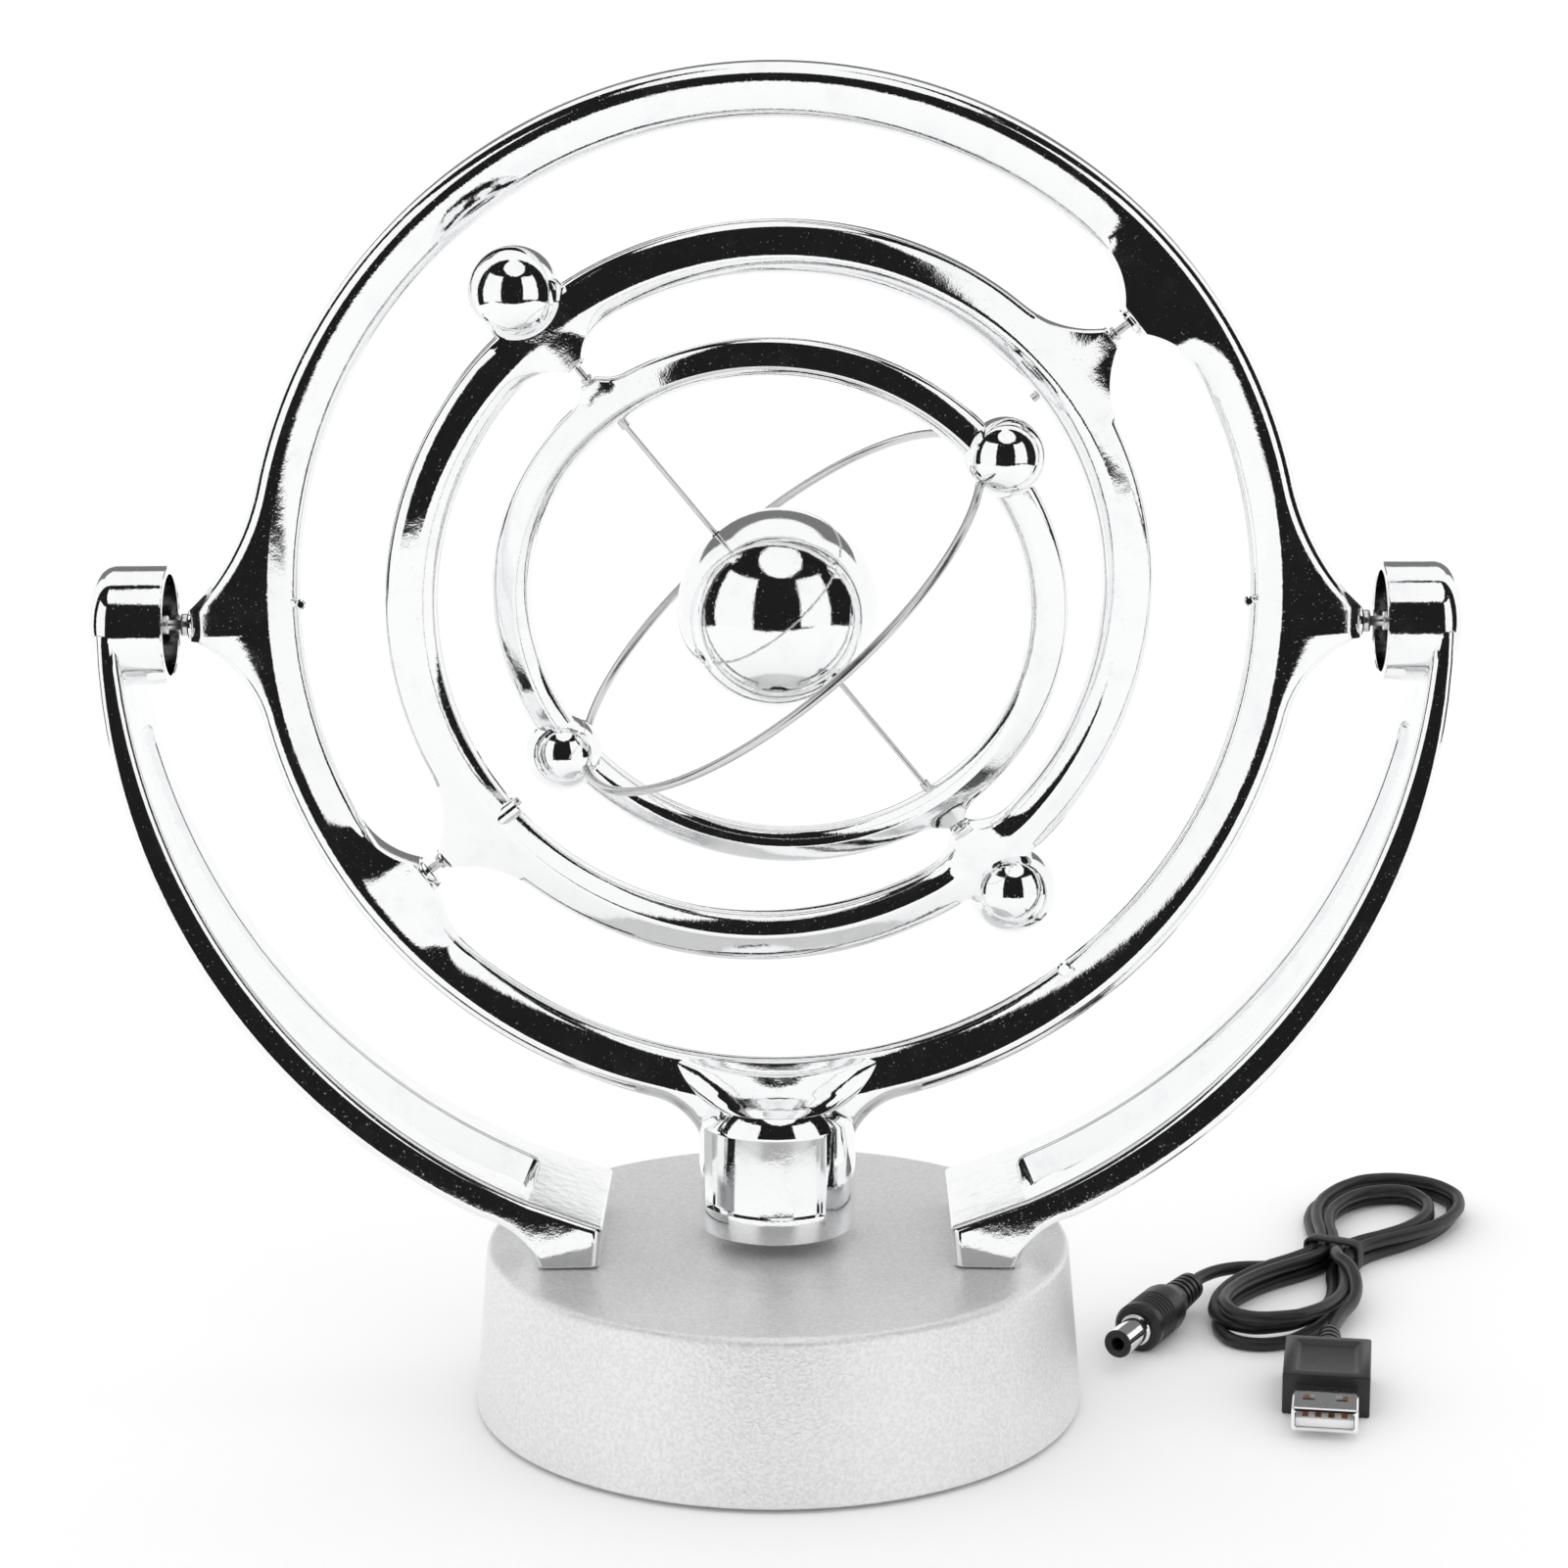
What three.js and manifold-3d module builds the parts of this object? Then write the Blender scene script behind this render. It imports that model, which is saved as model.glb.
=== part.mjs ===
// Kinetic orbital desk toy: a drum base with two curved arms, an outer ring that swings between
// the arms with a magnet in its hub, and two more rings and a ball pivoted one inside the other.
// Millimetres, +Z up, +X through the cups of the arms, -Y is the front. Z = 0 is the desk.

import * as THREE from 'three';
import { mergeVertices } from 'three/addons/utils/BufferGeometryUtils.js';
import Module from 'manifold-3d';

const wasm = await Module();
wasm.setup();

const deg = Math.PI / 180;
const gap = 0.3; // between pieces that touch

// ---- driving dimensions ----

// Base drum
const baseHeight = 30.9;
const baseBottomRadius = 56.2;
const baseTaper = 2.4; // narrower at the top
const baseTopRadius = baseBottomRadius - baseTaper;
const baseRimRound = 1.8;
const baseWall = 2.4;
const baseTopThickness = 3;
const footHeight = 1.2;
const footRadius = 6;
const footInset = 16.2; // from the drum's lower edge
const footCircle = baseBottomRadius - footInset;
const baseLift = 0.8; // lower rim of the drum above the desk
const bottomPlateThickness = 2.2;
const screwInset = 13.2;
const screwCircle = baseBottomRadius - screwInset;
const screwPostRadius = 3.6;
const screwShankRadius = 1;
const screwHeadRadius = 2.7;
const screwHeadHeight = 1.1;
const bottomScrewLength = 8;

// Drive coil, circuit board and power jack inside the drum
const boardThickness = 1.6;
const boardWidth = 34;
const boardFront = -18;
const boardSetBack = 4; // behind the jack's front
const boardLift = 2.4; // above the bottom plate
const coreRadius = 4.8;
const bobbinRadius = 16;
const bobbinWall = 1.4;
const windingThickness = 8;
const jackWidth = 9;
const jackDepth = 13;
const jackHeight = 11;
const jackNoseRadius = 3.9;
const jackBoreRadius = 3;

// Arms
const pivotHeight = 146;
const cupFace = 108; // open face of each cup from the middle
const cupLength = 13.3;
const cupRadius = 10.8;
const cupWall = 1.8;
const cupEndWall = 2;
const armReach = 11.9; // of the strap's outer face behind the cup's face
const armOuterAtCup = cupFace + armReach; // radii about the middle of the pivot axis
const armOuterAtFoot = armOuterAtCup - 1.9;
const armThicknessAtCup = 4;
const armThicknessAtFoot = 5.8;
const armInnerAtCup = armOuterAtCup - armThicknessAtCup;
const armInnerAtFoot = armOuterAtFoot - armThicknessAtFoot;
const armFootInset = 10.3; // from the drum's top edge
const armFootLength = 11.5; // along X
const armFootOuter = baseTopRadius - armFootInset;
const armFootInner = armFootOuter - armFootLength;
const armHalfDepthAtCup = 10.8;
const armHalfDepthAtFoot = 19;
const armUndercut = 8;
const slotTop = 9.5; // degrees below the cup
const slotBottom = 66.5;
const slotHalfWidthAtTop = 5.4;
const slotHalfWidthAtBottom = 9.4;
const armScrewSpread = 12; // from the middle, along Y
const armScrewLength = 9;

// Outer ring with its hub
const outerRingRise = 4; // ring centre above the pivot axis
const outerRingOuter = 94.6;
const outerRingInner = 84.7;
const outerRingDepth = 8;
const hornClearance = 3.5; // to the cup's face
const hornTip = cupFace - hornClearance;
const hornHalfHeight = 2.8;
const hubRadius = 14.4;
const hubClearance = 3.1; // above the drum
const hubShoulderDrop = 1; // below the ring's lowest edge
const hubShoulderHeight = 2.9;
const hubShoulderInset = 1.8;
const hubShoulderRadius = hubRadius - hubShoulderInset;
const hubRibWidth = 17.6;
const hubPocketDepth = 1.5;
const magnetInset = 4.4; // from the hub's side
const magnetRadius = hubRadius - magnetInset;
const magnetHeight = 6;
const hubCapHeight = 1.6;
const pivotPinRadius = 0.9;

// Middle ring
const diagonal = 38.1; // degrees of its pivot axis from +X, in the plane of the outer ring
const middleTilt = 10.3; // how far it is turned about that axis
const middleOuter = 68.9;
const middleInner = 59.4;
const middleDepth = 6.5;
const middlePlay = 0.4; // it has slid this far along its pins
const middlePinRadius = 0.75;
const largeBallRadius = 8.2;
const largeBallCircle = 72.3;
const outerBossTip = 79.6;
const middleNeckTip = 76;

// Inner ring
const innerTilt = -13.7; // degrees about its own pins
const innerOuter = 51.6;
const innerInner = 44.6;
const innerDepth = 5.5;
const innerPlay = 1.6;
const innerPinRadius = 0.6;
const smallBallRadius = 7.1;
const smallBallCircle = 50.2;
const middleBossTip = 55.8;
const innerNeckTip = 53.6;
const orbitRadius = 45;
const orbitWireRadius = 0.8;
const orbitTilt = 3.6;
const sphereRadius = 18;
const axleRadius = 0.5;

// Power lead lying beside the drum, tied in a hank
const cordRadius = 1.3;
const hankPlace = [113, 68]; // its tie on the desk
const hankHeading = 62; // degrees from +X
const hankSlack = 1.4;
const hankHeight = 4 * cordRadius + hankSlack;
const tieWidth = 3;
const tieThickness = 1.1;
const waistHalfWidth = 5.6;
const plugBarrelRadius = 2.75;
const plugBarrelLength = 9.5;
const plugBodyRadius = 4.8;
const plugBodyLength = 17;
const plugReliefLength = 10;
const plugPlace = [-62.5, 17]; // its front shoulder, in the hank's own directions
const usbPlace = [-46, -16]; // where its lead leaves it
const usbHeading = 199;
const usbBodyWidth = 16;
const usbBodyHeight = 8;
const usbBodyLength = 20;
const usbReliefLength = 12;
const usbReliefRadius = 2.8;
const usbShellWidth = 12;
const usbShellHeight = 4.5;
const usbShellLength = 12;
const usbShellWall = 0.4;

// ---- what follows from them ----

const ringCentre = pivotHeight + outerRingRise;
const hubBottom = baseHeight + hubClearance;
const hubShoulder = ringCentre - outerRingOuter - hubShoulderDrop;
const hubShoulderTop = hubShoulder + hubShoulderHeight;
const cupEnd = cupFace + cupLength;
const runningGap = gap; // pin to bore, all round
const bottomPlateZ = footHeight + gap;
const bottomPlateTop = bottomPlateZ + bottomPlateThickness;
const bottomPlateRadius = baseBottomRadius - baseWall - 1;
const underTop = baseHeight - baseTopThickness;
const boardZ = bottomPlateTop + boardLift;
const boardTop = boardZ + boardThickness;

// ---- finishes ----

const finish = (color, roughness, metalness) => new THREE.MeshStandardMaterial({ color, roughness, metalness });
const chromePlate = finish(0xe4e6e8, 0.06, 1);
const satinSilver = finish(0xd2d3d5, 0.4, 0.3);
const steel = finish(0xb9bbbe, 0.25, 1);
const blackRubber = finish(0x151515, 0.8, 0);
const blackPlastic = finish(0x1c1c1d, 0.5, 0);
const whiteNylon = finish(0xe8e6df, 0.5, 0);
const boardGreen = finish(0x1f5a34, 0.5, 0);
const copper = finish(0xb06a35, 0.35, 1);
const magnetNickel = finish(0xa9aaac, 0.3, 1);

// ---- joining and cutting ----

function toSolid(geometry) {
  const plain = geometry.clone();
  plain.deleteAttribute('normal');
  plain.deleteAttribute('uv');
  const welded = mergeVertices(plain);
  return new wasm.Manifold(new wasm.Mesh({
    numProp: 3,
    vertProperties: new Float32Array(welded.attributes.position.array),
    triVerts: new Uint32Array(welded.index.array),
  }));
}

function toGeometry(solid) {
  const mesh = solid.getMesh();
  const geometry = new THREE.BufferGeometry();
  geometry.setAttribute('position', new THREE.BufferAttribute(new Float32Array(mesh.vertProperties), 3));
  geometry.setIndex(new THREE.BufferAttribute(new Uint32Array(mesh.triVerts), 1));
  geometry.computeVertexNormals();
  return geometry;
}

function join(first, ...others) {
  return toGeometry(others.reduce((solid, other) => solid.add(toSolid(other)), toSolid(first)));
}

function cut(first, ...others) {
  return toGeometry(others.reduce((solid, other) => solid.subtract(toSolid(other)), toSolid(first)));
}

function overlap(first, second) {
  return toGeometry(toSolid(first).intersect(toSolid(second)));
}

// ---- basic shapes ----

// A cylinder along Z from bottom to top.
function roundBar(radius, bottom, top, sides = 24) {
  const bar = new THREE.CylinderGeometry(radius, radius, top - bottom, sides);
  return bar.rotateX(Math.PI / 2).translate(0, 0, (bottom + top) / 2);
}

// A cylinder along X.
function crossBar(radius, from, to, sides = 24) {
  return roundBar(radius, from, to, sides).rotateY(Math.PI / 2);
}

function block(xLow, xHigh, yLow, yHigh, zLow, zHigh) {
  const box = new THREE.BoxGeometry(xHigh - xLow, yHigh - yLow, zHigh - zLow);
  return box.translate((xLow + xHigh) / 2, (yLow + yHigh) / 2, (zLow + zHigh) / 2);
}

function ball(radius, x, y, z) {
  return new THREE.SphereGeometry(radius, 20, 12).translate(x, y, z);
}

// A turned piece about Z from [radius, height] pairs.
function turned(profile, sides = 48) {
  const points = profile.map(([radius, height]) => new THREE.Vector2(radius, height));
  return new THREE.LatheGeometry(points, sides).rotateX(Math.PI / 2);
}

// An outline in X and Z, given depth along Y with its middle at y = 0.
function plate(shape, depth, chamfer = 0) {
  const geometry = new THREE.ExtrudeGeometry(shape, {
    depth: depth - 2 * chamfer,
    bevelEnabled: chamfer > 0,
    bevelThickness: chamfer,
    bevelSize: chamfer,
    bevelOffset: -chamfer,
    bevelSegments: 1,
    steps: 1,
  });
  return geometry.translate(0, 0, chamfer - depth / 2).rotateX(Math.PI / 2);
}

// An outline in Y and Z, carried along X.
function sidePrism(points, from, to) {
  const shape = new THREE.Shape(points.map(([y, z]) => new THREE.Vector2(y, z)));
  const geometry = new THREE.ExtrudeGeometry(shape, { depth: to - from, bevelEnabled: false });
  return geometry.translate(0, 0, from).rotateX(Math.PI / 2).rotateZ(Math.PI / 2);
}

function mirrored(geometry) {
  return geometry.clone().rotateZ(Math.PI);
}

const part = new THREE.Group();

function addPiece(group, name, geometry, material) {
  const piece = new THREE.Mesh(geometry, material);
  piece.name = name;
  group.add(piece);
  return piece;
}

// ---- ring outlines ----

function polar(radius, angle) {
  return new THREE.Vector2(radius * Math.cos(angle), radius * Math.sin(angle));
}

// The arc that leaves a circle at an angle, tangent to it, and ends at a corner.
function sweepToCorner(radius, angle, corner, steps = 5) {
  const along = polar(1, angle);
  const reach = along.dot(corner);
  const bend = (2 * radius * reach - radius ** 2 - corner.lengthSq()) / (2 * (radius - reach));
  const centre = along.clone().multiplyScalar(radius + bend);
  const start = polar(radius, angle).sub(centre);
  const end = corner.clone().sub(centre);
  const turn = Math.atan2(start.cross(end), start.dot(end));
  const points = [];
  for (let step = 0; step < steps; step += 1) {
    points.push(start.clone().rotateAround(new THREE.Vector2(), (turn * step) / steps).add(centre));
  }
  points.push(corner.clone());
  return points;
}

// A circle with lugs on it. Each lug has a first and a last corner and the angles, in degrees and
// in order round the circle, at which its flanks run into the circle.
function luggedCircle(radius, lugs, stepAngle = 6) {
  const points = [];
  lugs.forEach((lug, index) => {
    const next = lugs[(index + 1) % lugs.length];
    points.push(...sweepToCorner(radius, lug.from * deg, lug.first));
    points.push(...sweepToCorner(radius, lug.to * deg, lug.last).reverse());
    const span = (((next.from - lug.to) % 360) + 360) % 360;
    const steps = Math.round(span / stepAngle);
    for (let step = 1; step < steps; step += 1) {
      points.push(polar(radius, (lug.to + (span * step) / steps) * deg));
    }
  });
  return points;
}

// A lug that points straight out of, or straight into, a ring.
function radialLug(angle, tip, halfWidth, spread) {
  const along = polar(1, angle * deg);
  const across = new THREE.Vector2(-along.y, along.x);
  const middle = along.clone().multiplyScalar(tip);
  return {
    from: angle - spread,
    to: angle + spread,
    first: middle.clone().addScaledVector(across, -halfWidth),
    last: middle.clone().addScaledVector(across, halfWidth),
  };
}

function circlePoints(radius, stepAngle = 6) {
  const points = [];
  for (let angle = 0; angle < 360; angle += stepAngle) {
    points.push(polar(radius, angle * deg));
  }
  return points;
}

function ringPlate(outerPoints, innerPoints, depth, chamfer) {
  const shape = new THREE.Shape(outerPoints);
  shape.holes.push(new THREE.Path(innerPoints));
  return plate(shape, depth, chamfer);
}

// ---- base ----

const wallRadiusAt = (z) => baseBottomRadius
  + ((baseTopRadius - baseBottomRadius) * (z - baseLift)) / (baseHeight - baseLift);

function onCircle(radius, angle, place) {
  return [radius * Math.cos(angle * deg), radius * Math.sin(angle * deg), place];
}

const screwAngles = [45, 135, 225, 315];
const footAngles = [0, 90, 180, 270];
const armScrewX = (armFootInner + armFootOuter) / 2;
const armScrewPlaces = [-1, 1].flatMap((side) => [-1, 1].map((front) => [side, front]));
const jackBack = wallRadiusAt(boardTop) - baseWall - 1.6;
const jackCentreZ = boardTop + gap + jackHeight / 2;

function makeHousing() {
  const innerTop = underTop;
  const shell = turned([
    [0, innerTop],
    [wallRadiusAt(innerTop) - baseWall, innerTop],
    [bottomPlateRadius + gap, bottomPlateTop + gap],
    [bottomPlateRadius + gap, baseLift],
    [baseBottomRadius - 0.8, baseLift],
    [baseBottomRadius, baseLift + 0.8],
    [wallRadiusAt(baseHeight - baseRimRound), baseHeight - baseRimRound],
    [baseTopRadius - baseRimRound * 0.3, baseHeight - baseRimRound * 0.3],
    [baseTopRadius - baseRimRound, baseHeight],
    [0, baseHeight],
  ], 56);
  const posts = screwAngles.map((angle) => {
    const post = roundBar(screwPostRadius, bottomPlateTop + gap, innerTop + 0.5, 12);
    return post.translate(...onCircle(screwCircle, angle, 0));
  });
  const pilots = screwAngles.map((angle) => {
    const pilot = roundBar(screwShankRadius + gap, 0, bottomPlateTop + bottomScrewLength, 12);
    return pilot.translate(...onCircle(screwCircle, angle, 0));
  });
  const armHoles = armScrewPlaces.map(([side, front]) => {
    const hole = roundBar(screwShankRadius + gap, innerTop - 1, baseHeight + 1, 12);
    return hole.translate(side * armScrewX, front * armScrewSpread, 0);
  });
  const jackHole = roundBar(jackNoseRadius + gap, 0, baseBottomRadius + 5, 20).rotateX(-Math.PI / 2);
  jackHole.translate(0, jackBack - 1, jackCentreZ);
  return cut(join(shell, ...posts), ...pilots, ...armHoles, jackHole);
}

addPiece(part, 'base_housing', makeHousing(), satinSilver);

function makeBottomPlate() {
  const disc = roundBar(bottomPlateRadius, bottomPlateZ, bottomPlateTop, 56);
  const cuts = screwAngles.flatMap((angle) => {
    const place = onCircle(screwCircle, angle, 0);
    return [
      roundBar(screwShankRadius + gap, 0, baseHeight, 12).translate(...place),
      roundBar(screwHeadRadius + gap, 0, bottomPlateZ + screwHeadHeight + gap, 16).translate(...place),
    ];
  });
  return cut(disc, ...cuts);
}

addPiece(part, 'bottom_plate', makeBottomPlate(), blackPlastic);

footAngles.forEach((angle, index) => {
  const foot = roundBar(footRadius, 0, footHeight, 24).translate(...onCircle(footCircle, angle, 0));
  addPiece(part, `rubber_foot_${index + 1}`, foot, blackRubber);
});

// A pan-head screw that points up, with the underside of its head at z = 0.
function makeScrew(length) {
  return turned([
    [0, -screwHeadHeight],
    [screwHeadRadius * 0.8, -screwHeadHeight],
    [screwHeadRadius, -screwHeadHeight * 0.5],
    [screwHeadRadius, 0],
    [screwShankRadius, 0],
    [screwShankRadius, length - screwShankRadius],
    [0, length],
  ], 12);
}

screwAngles.forEach((angle, index) => {
  const screw = makeScrew(bottomScrewLength);
  screw.translate(...onCircle(screwCircle, angle, bottomPlateZ + screwHeadHeight));
  addPiece(part, `bottom_screw_${index + 1}`, screw, steel);
});

armScrewPlaces.forEach(([side, front], index) => {
  const screw = makeScrew(armScrewLength);
  screw.translate(side * armScrewX, front * armScrewSpread, underTop - gap);
  addPiece(part, `arm_screw_${index + 1}`, screw, steel);
});

// ---- drive coil, board and jack ----

const bobbinBottom = boardTop + gap;
const bobbinTop = underTop - gap;

addPiece(part, 'coil_bobbin', turned([
  [coreRadius + gap, bobbinBottom],
  [bobbinRadius, bobbinBottom],
  [bobbinRadius, bobbinBottom + bobbinWall],
  [coreRadius + gap + bobbinWall, bobbinBottom + bobbinWall],
  [coreRadius + gap + bobbinWall, bobbinTop - bobbinWall],
  [bobbinRadius, bobbinTop - bobbinWall],
  [bobbinRadius, bobbinTop],
  [coreRadius + gap, bobbinTop],
  [coreRadius + gap, bobbinBottom],
], 32), whiteNylon);

const windingInner = coreRadius + bobbinWall + 2 * gap;
addPiece(part, 'coil_winding', turned([
  [windingInner, bobbinBottom + bobbinWall + gap],
  [windingInner + windingThickness, bobbinBottom + bobbinWall + gap],
  [windingInner + windingThickness, bobbinTop - bobbinWall - gap],
  [windingInner, bobbinTop - bobbinWall - gap],
  [windingInner, bobbinBottom + bobbinWall + gap],
], 32), copper);

addPiece(part, 'coil_core', roundBar(coreRadius, bobbinBottom, bobbinTop, 24), steel);

const board = block(-boardWidth / 2, boardWidth / 2, boardFront, jackBack - boardSetBack, boardZ, boardTop);
addPiece(part, 'circuit_board', board, boardGreen);

function makeJack() {
  const body = block(-jackWidth / 2, jackWidth / 2, jackBack - jackDepth, jackBack,
    boardTop + gap, boardTop + gap + jackHeight);
  const noseLength = wallRadiusAt(jackCentreZ) - jackBack - gap;
  const nose = roundBar(jackNoseRadius, -1, noseLength, 20).rotateX(-Math.PI / 2);
  const bore = roundBar(jackBoreRadius, -7, noseLength + 1, 16).rotateX(-Math.PI / 2);
  nose.translate(0, jackBack, jackCentreZ);
  bore.translate(0, jackBack, jackCentreZ);
  return cut(join(body, nose), bore);
}

addPiece(part, 'power_jack', makeJack(), blackPlastic);

// ---- arms ----

const armOuter = (angle) => armOuterAtCup + (armOuterAtFoot - armOuterAtCup) * (angle / 70) ** 2;
const armInner = (angle) => armInnerAtFoot + (armInnerAtCup - armInnerAtFoot) * (1 - angle / 75) ** 2;
const belowPivot = (radius, angle) => new THREE.Vector2(
  radius * Math.cos(angle * deg),
  pivotHeight - radius * Math.sin(angle * deg),
);
const slantAt = (z, atCup, atFoot) => atCup
  + ((atFoot - atCup) * (pivotHeight - z)) / (pivotHeight - baseHeight);

function makeArm() {
  const footZ = baseHeight + gap;
  const outerEnd = Math.acos((armFootOuter + armUndercut) / armOuterAtFoot) / deg;
  const innerEnd = Math.acos((armFootInner - 0.6) / armInnerAtFoot) / deg;
  const strap = new THREE.Shape();
  strap.moveTo(armOuterAtCup, pivotHeight);
  for (let step = 1; step <= 14; step += 1) {
    const point = belowPivot(armOuter((outerEnd * step) / 14), (outerEnd * step) / 14);
    strap.lineTo(point.x, point.y);
  }
  strap.quadraticCurveTo(armFootOuter + 1.5, footZ + armUndercut * 0.7, armFootOuter, footZ);
  strap.lineTo(armFootInner, footZ);
  for (let step = 15; step >= 0; step -= 1) {
    const point = belowPivot(armInner((innerEnd * step) / 15), (innerEnd * step) / 15);
    strap.lineTo(point.x, point.y);
  }
  const wide = new THREE.ExtrudeGeometry(strap, {
    depth: 2 * armHalfDepthAtFoot + 4,
    bevelEnabled: false,
    curveSegments: 5,
  }).translate(0, 0, -armHalfDepthAtFoot - 2).rotateX(Math.PI / 2);
  const footHalf = armHalfDepthAtFoot;
  const topHalf = slantAt(pivotHeight + 2, armHalfDepthAtCup, footHalf);
  const taper = sidePrism([
    [-footHalf, footZ - 1], [footHalf, footZ - 1], [footHalf, footZ + 1],
    [topHalf, pivotHeight + 2], [-topHalf, pivotHeight + 2], [-footHalf, footZ + 1],
  ], armFootInner - 10, cupEnd + 10);

  const sector = [];
  for (let step = 0; step <= 12; step += 1) {
    sector.push(belowPivot(armInnerAtFoot - 8, slotTop + ((slotBottom - slotTop) * step) / 12));
  }
  for (let step = 12; step >= 0; step -= 1) {
    sector.push(belowPivot(armOuterAtCup + 8, slotTop + ((slotBottom - slotTop) * step) / 12));
  }
  const slotSweep = plate(new THREE.Shape(sector), 2 * slotHalfWidthAtBottom + 10);
  const slotTaper = sidePrism([
    [-slotHalfWidthAtBottom, baseHeight], [slotHalfWidthAtBottom, baseHeight],
    [slotHalfWidthAtTop, pivotHeight], [-slotHalfWidthAtTop, pivotHeight],
  ], 0, cupEnd + 10);

  const cup = crossBar(cupRadius, cupFace, cupEnd, 40).translate(0, 0, pivotHeight);
  const bore = crossBar(cupRadius - cupWall, cupFace - 5, cupEnd - cupEndWall, 32);
  bore.translate(0, 0, pivotHeight);
  const pilots = [-1, 1].map((front) => {
    const pilot = roundBar(screwShankRadius + gap, footZ - 2, underTop + armScrewLength + gap, 12);
    return pilot.translate(armScrewX, front * armScrewSpread, 0);
  });
  return cut(join(overlap(wide, taper), cup), overlap(slotSweep, slotTaper), bore, ...pilots);
}

const rightArm = makeArm();
addPiece(part, 'right_arm', rightArm, chromePlate);
addPiece(part, 'left_arm', mirrored(rightArm), chromePlate);

const bearingFace = cupFace + 5.5;
function makeBearing() {
  const outer = cupRadius - cupWall - gap;
  const back = cupEnd - cupEndWall - gap;
  const bore = pivotPinRadius + runningGap;
  return turned([
    [bore, bearingFace],
    [bore + 2.4, bearingFace],
    [bore + 2.4, bearingFace + 1.5],
    [outer, bearingFace + 2.5],
    [outer, back],
    [bore, back],
    [bore, bearingFace],
  ], 32).rotateY(Math.PI / 2).translate(0, 0, pivotHeight);
}

const rightBearing = makeBearing();
addPiece(part, 'right_pivot_bearing', rightBearing, blackPlastic);
addPiece(part, 'left_pivot_bearing', mirrored(rightBearing), blackPlastic);

// ---- outer ring ----

const outerFrame = new THREE.Group();
outerFrame.position.set(0, 0, ringCentre);
part.add(outerFrame);

const magnetBottom = hubBottom + hubCapHeight + 2 * gap;
const hubCapRadius = magnetRadius + 1;
const pivotPinRoot = hornTip - 8;

function makeOuterRing() {
  const rise = outerRingRise;
  const neckEnd = hubShoulder - 4 - ringCentre;
  const horn = (side) => ({
    upper: new THREE.Vector2(side * hornTip, hornHalfHeight - rise),
    lower: new THREE.Vector2(side * hornTip, -hornHalfHeight - rise),
  });
  const outline = luggedCircle(outerRingOuter, [
    { from: -13, to: 13, first: horn(1).lower, last: horn(1).upper },
    { from: 167, to: 193, first: horn(-1).upper, last: horn(-1).lower },
    {
      from: 256,
      to: 284,
      first: new THREE.Vector2(-hubRadius + 0.4, neckEnd),
      last: new THREE.Vector2(hubRadius - 0.4, neckEnd),
    },
  ]);
  const opening = luggedCircle(outerRingInner, [
    radialLug(diagonal, outerBossTip, 3, 11),
    radialLug(diagonal + 180, outerBossTip, 3, 11),
  ]);
  const ring = ringPlate(outline, opening, outerRingDepth, 2);

  const local = (z) => z - ringCentre;
  const hub = turned([
    [0, local(hubBottom)],
    [hubRadius - 0.6, local(hubBottom)],
    [hubRadius, local(hubBottom) + 0.6],
    [hubRadius, local(hubShoulder)],
    [hubShoulderRadius, local(hubShoulderTop)],
    [hubShoulderRadius * 0.72, local(hubShoulderTop) + 1],
    [hubShoulderRadius * 0.5, local(hubShoulderTop) + 3],
    [outerRingDepth / 2, -outerRingInner - 1.2],
    [0, -outerRingInner - 1.2],
  ], 48);
  const pocketBand = turned([
    [hubRadius - hubPocketDepth, local(hubBottom) + 4.6],
    [hubRadius + 3, local(hubBottom) + 4.6],
    [hubRadius + 3, local(hubShoulder) - 0.8],
    [hubRadius - hubPocketDepth, local(hubShoulder) - 0.8],
    [hubRadius - hubPocketDepth, local(hubBottom) + 4.6],
  ], 48);
  const rib = block(-hubRibWidth / 2, hubRibWidth / 2, -20, 20, local(hubBottom) - 1, local(hubShoulder) + 1);
  const magnetWell = roundBar(magnetRadius + gap, local(hubBottom) - 1,
    local(magnetBottom) + magnetHeight + gap, 32);
  const capSeat = roundBar(hubCapRadius + gap, local(hubBottom) - 1,
    local(hubBottom) + hubCapHeight + gap, 32);
  const pivotBores = [
    crossBar(pivotPinRadius + gap, pivotPinRoot - gap, hornTip + 1, 12).translate(0, 0, -rise),
    crossBar(pivotPinRadius + gap, -hornTip - 1, -pivotPinRoot + gap, 12).translate(0, 0, -rise),
  ];
  const bossBore = crossBar(middlePinRadius + runningGap, outerBossTip - 2, outerRingInner + 0.5, 12);
  const bossBores = [bossBore, mirrored(bossBore)].map((bore) => bore.rotateY(-diagonal * deg));
  const sides = cut(pocketBand, rib);
  return cut(join(ring, cut(hub, sides)), magnetWell, capSeat, ...pivotBores, ...bossBores);
}

addPiece(outerFrame, 'outer_ring', makeOuterRing(), chromePlate);
addPiece(outerFrame, 'hub_magnet', roundBar(magnetRadius, magnetBottom - ringCentre,
  magnetBottom + magnetHeight - ringCentre, 32), magnetNickel);
addPiece(outerFrame, 'hub_cap', roundBar(hubCapRadius, hubBottom - ringCentre,
  hubBottom + hubCapHeight - ringCentre, 32), blackPlastic);

function makePivotPin() {
  const pinEnd = cupEnd - cupEndWall - 2;
  return crossBar(pivotPinRadius, pivotPinRoot, pinEnd, 12).translate(0, 0, -outerRingRise);
}

addPiece(outerFrame, 'right_pivot_pin', makePivotPin(), steel);
addPiece(outerFrame, 'left_pivot_pin', mirrored(makePivotPin()), steel);

// ---- middle ring: its pins lie along its own X, its balls on its own Z ----

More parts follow.
